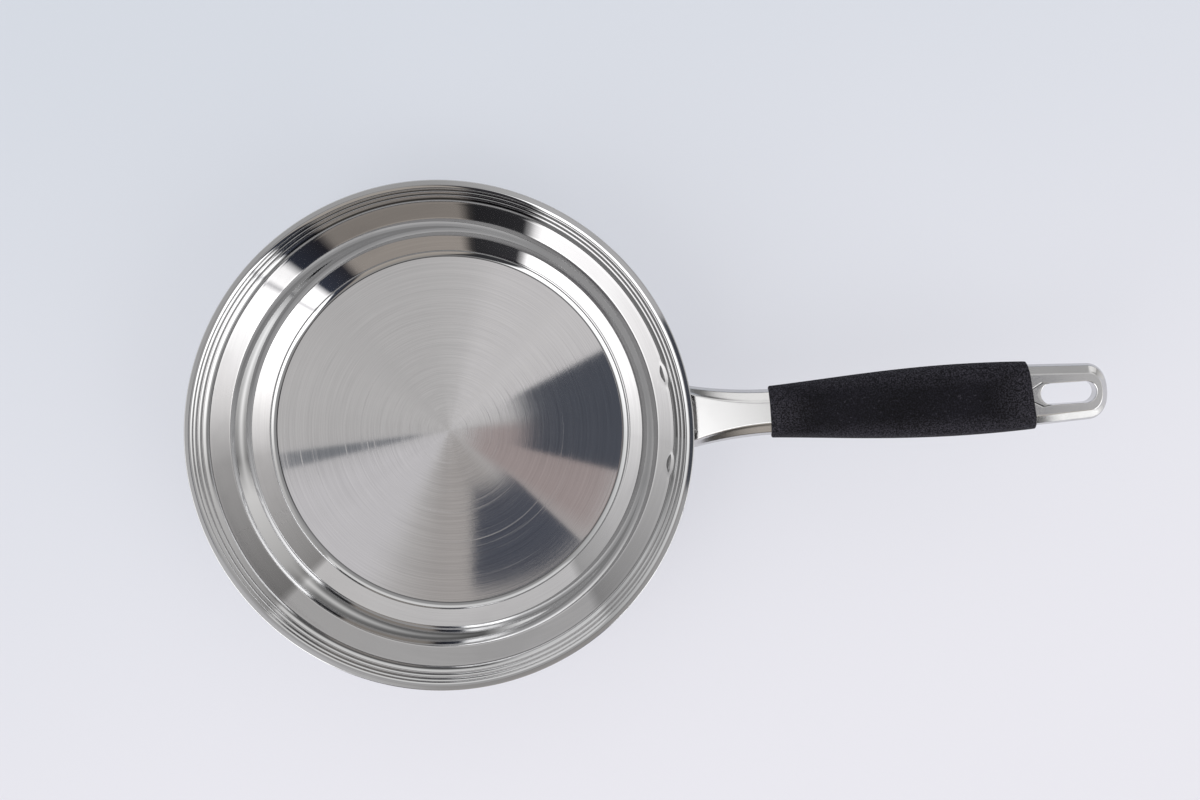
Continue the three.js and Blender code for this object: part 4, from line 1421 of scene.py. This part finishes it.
# Rise of a direction at which the walls begin to give way to the ceiling and at which they end; the bearing
# of the taller side, how much higher its walls reach, and the places along that bearing where they climb
ROOM_TOP = 0.7
ROOM_END = 0.82
TALL_SIDE = math.radians(-135)
TALL_EXTRA = 0.16
TALL_CLIMB = (-0.05, 0.15)

# Rise at which the part close to the table begins to give way to the walls and at which it ends
LOW_TOP = 0.15
LOW_END = 0.33

# How bright the room stays close to the table, as a share, by bearing in degrees
LOW_ROOM = (
    (-180, 0.1),
    (-60, 0.08),
    (-45, 0.3),
    (0, 0.3),
    (12, 1.0),
    (36, 1.0),
    (50, 0.2),
    (104, 0.1),
    (116, 0.9),
    (152, 1.0),
    (172, 0.2),
)

# Shapes overhead, by where the floor shows them to the camera: the point in mm that both straight edges run
# from, the bearings of the edges in degrees, the nearest and farthest distance in mm, colour, cover and how
# far the straight edges fade
CARDS = (
    ((0.0, 0.0), (15, 75), (0, 130), (0.86, 0.85, 0.86), 0.85, 0.25),
    ((0.0, 0.0), (-170, -120), (0, 130), (0.82, 0.81, 0.84), 0.8, 0.2),
    ((0.0, 0.0), (-110, -45), (0, 130), (0.46, 0.43, 0.41), 0.7, 0.3),
    ((0.0, 0.0), (-42, 2), (12, 86), (0.36, 0.26, 0.25), 0.65, 0.12),
    ((0.0, 0.0), (-17.9, 23.2), (37, 130), (0.095, 0.105, 0.13), 1.0, 0.008),
    ((12.3, -6.1), (-96, -48), (24, 74), (0.095, 0.105, 0.135), 1.0, 0.008),
    ((0.0, 0.0), (183.4, 189), (16, 85), (0.15, 0.17, 0.2), 0.8, 0.012),
)
CARD_EDGE_SOFT = 0.9 * MM
LEAST_RISE = 0.05

# Upright cards beside the handle's end, which only the steel within their sight mirrors: name, reach in X,
# place in Y, reach in Z, all in mm, and brightness
SIDE_CARDS = (
    ("white_card", (297, 400), -127, (80, 150), 1.6),
    ("dark_card", (268, 297), -127, (80, 150), 0.05),
    ("grey_card", (268, 330), 120, (90, 170), 0.5),
)
CARD_SIGHT = 0.2


def by_bearing(tones):
    """Stops of a ramp round the horizon, from tones by bearing in degrees."""
    return [((degrees + 180) / 360, rgba(tone)) for degrees, tone in tones]


def room_walls(tree, x, y, z):
    """Tone of the room's walls by bearing, dimmed close to the table, as a socket."""
    turn = maths(tree, "ADD", maths(tree, "DIVIDE", maths(tree, "ARCTAN2", y, x), math.tau), 0.5)
    walls = scaled(tree, tone_ramp(tree, turn, by_bearing(ROOM)), ROOM_STRENGTH)
    shade = tone_ramp(tree, turn, by_bearing((degrees, [left] * 3) for degrees, left in LOW_ROOM))
    lift = ranged(tree, z, LOW_TOP, LOW_END, 0.0, 1.0)
    low = maths(tree, "ADD", lift, maths(tree, "MULTIPLY", shade, maths(tree, "SUBTRACT", 1.0, lift)))
    return scaled(tree, walls, low)


def overhead_card(tree, tone, x, y, card):
    """A tone with one shape overhead laid on it, as a socket. X and Y are the place on the floor."""
    (from_x, from_y), edges, (near, reach), shade, amount, fade = card
    middle, half = math.radians(sum(edges) / 2), math.radians(edges[1] - edges[0]) / 2
    out_x = maths(tree, "SUBTRACT", x, from_x * MM)
    out_y = maths(tree, "SUBTRACT", y, from_y * MM)
    ahead = towards(tree, out_x, out_y, middle)
    aside = towards(tree, out_x, out_y, middle + math.pi / 2)
    turn = maths(tree, "ABSOLUTE", maths(tree, "ARCTAN2", aside, ahead))
    square = maths(tree, "ADD", maths(tree, "MULTIPLY", ahead, ahead), maths(tree, "MULTIPLY", aside, aside))
    away = maths(tree, "SQRT", square)
    within = ranged(tree, turn, half - fade, half + fade, amount, 0.0)
    past = ranged(tree, away, near * MM - CARD_EDGE_SOFT, near * MM + CARD_EDGE_SOFT, 0.0, 1.0)
    short = ranged(tree, away, reach * MM - CARD_EDGE_SOFT, reach * MM + CARD_EDGE_SOFT, 1.0, 0.0)
    cover = maths(tree, "MULTIPLY", within, maths(tree, "MULTIPLY", past, short))
    return blend(tree, cover, tone, rgba(shade))


def room_of_light(world, studio, drop):
    """Soft room in the world: walls by bearing, dark below, an even ceiling above and shapes overhead.

    A direction is turned into the place on the floor that shows it to the camera, by the camera's height.
    """
    world.use_nodes = True
    tree = world.node_tree
    way = put(tree, "ShaderNodeTexCoord").outputs["Generated"]
    x, y, z = put(tree, "ShaderNodeSeparateXYZ", {0: way}).outputs
    walls = room_walls(tree, x, y, z)
    tall = ranged(tree, towards(tree, x, y, TALL_SIDE), *TALL_CLIMB, 0.0, TALL_EXTRA)
    height = ranged(tree, maths(tree, "SUBTRACT", z, tall), ROOM_TOP, ROOM_END, 0.0, 1.0)
    tone = blend(tree, height, walls, rgba(studio.ceiling))
    rise = maths(tree, "DIVIDE", maths(tree, "MAXIMUM", z, LEAST_RISE), studio.camera_height - drop)
    place_x = maths(tree, "ADD", maths(tree, "DIVIDE", x, rise), CAMERA_PLACE[0])
    place_y = maths(tree, "ADD", maths(tree, "DIVIDE", y, rise), CAMERA_PLACE[1])
    for card in CARDS:
        tone = overhead_card(tree, tone, place_x, place_y, card)
    tree.links.new(tone, tree.nodes["Background"].inputs["Color"])


def card_glow(name, brightness):
    """Even glow that a ray longer than the card's sight passes through."""
    material, tree, _ = new_material(name, metallic=0.0)
    glow = put(tree, "ShaderNodeEmission", {"Strength": brightness})
    clear = put(tree, "ShaderNodeBsdfTransparent")
    far = maths(tree, "GREATER_THAN", put(tree, "ShaderNodeLightPath").outputs["Ray Length"], CARD_SIGHT)
    mixed = put(tree, "ShaderNodeMixShader", {0: far, 1: glow.outputs[0], 2: clear.outputs[0]})
    tree.links.new(mixed.outputs[0], tree.nodes["Material Output"].inputs["Surface"])
    return material


def side_card(name, reach_x, y, reach_z, brightness):
    """Upright card that glows evenly and shows only in mirrors close to it."""
    (near_x, far_x), (low_z, high_z) = reach_x, reach_z
    corners = np.array([[near_x, y, low_z], [far_x, y, low_z], [far_x, y, high_z], [near_x, y, high_z]])
    card = flat_quad(name, corners * MM, card_glow(name, brightness))
    card.visible_camera = False
    card.visible_diffuse = False
    card.visible_shadow = False


class PAN_OT_stage(Operator):
    """Sets the pale table, the soft room of light and the camera"""

    bl_idname = "pan.stage"
    bl_label = "Stage"

    def execute(self, context):
        scene = context.scene
        studio = scene.pan_studio
        corners = np.array([[-1, -1, 0], [1, -1, 0], [1, 1, 0], [-1, 1, 0]]) * TABLE_HALF
        table = flat_quad("table", corners, table_top(studio))
        scene.world = bpy.data.worlds.new("soft_room")
        room_of_light(scene.world, studio, scene.pan_bowl.floor_height)
        for card in SIDE_CARDS:
            side_card(*card)
        lens = bpy.data.cameras.new("camera")
        lens.lens = LENS
        lens.sensor_width = SENSOR
        camera = bpy.data.objects.new("camera", lens)
        camera.location = (*CAMERA_PLACE, studio.camera_height)
        camera.rotation_euler = [math.radians(turn) for turn in CAMERA_TURN]
        scene.collection.objects.link(camera)
        scene.camera = camera
        scene.view_settings.view_transform = "Standard"
        return {"FINISHED"}


# Panel and registration

OPERATORS = (
    PAN_OT_stage, PAN_OT_bowl, PAN_OT_base, PAN_OT_fixings, PAN_OT_handle, PAN_OT_liner, PAN_OT_sleeve
)


class PAN_PT_sidebar(Panel):
    """Lists the pan's pieces and their sizes"""

    bl_idname = "PAN_PT_sidebar"
    bl_label = "Frying pan"
    bl_space_type = "VIEW_3D"
    bl_region_type = "UI"
    bl_category = "Frying pan"

    def draw(self, context):
        for operator in OPERATORS:
            self.layout.operator(operator.bl_idname)
        for name in GROUPS:
            group = getattr(context.scene, name)
            box = self.layout.box()
            for key in group.__annotations__:
                box.prop(group, key)


CLASSES = (*GROUPS.values(), *OPERATORS, PAN_PT_sidebar)


def register():
    """Registers the classes and puts each group of properties on the scene."""
    for cls in CLASSES:
        bpy.utils.register_class(cls)
    for name, cls in GROUPS.items():
        setattr(bpy.types.Scene, name, PointerProperty(type=cls))


def unregister():
    """Takes the properties off the scene and unregisters the classes."""
    for name in GROUPS:
        delattr(bpy.types.Scene, name)
    for cls in reversed(CLASSES):
        bpy.utils.unregister_class(cls)


def main():
    """Builds every piece."""
    register()
    bpy.ops.pan.stage()
    bpy.ops.pan.bowl()
    bpy.ops.pan.base()
    bpy.ops.pan.fixings()
    bpy.ops.pan.handle()
    bpy.ops.pan.liner()
    bpy.ops.pan.sleeve()


if __name__ == "__main__":
    main()
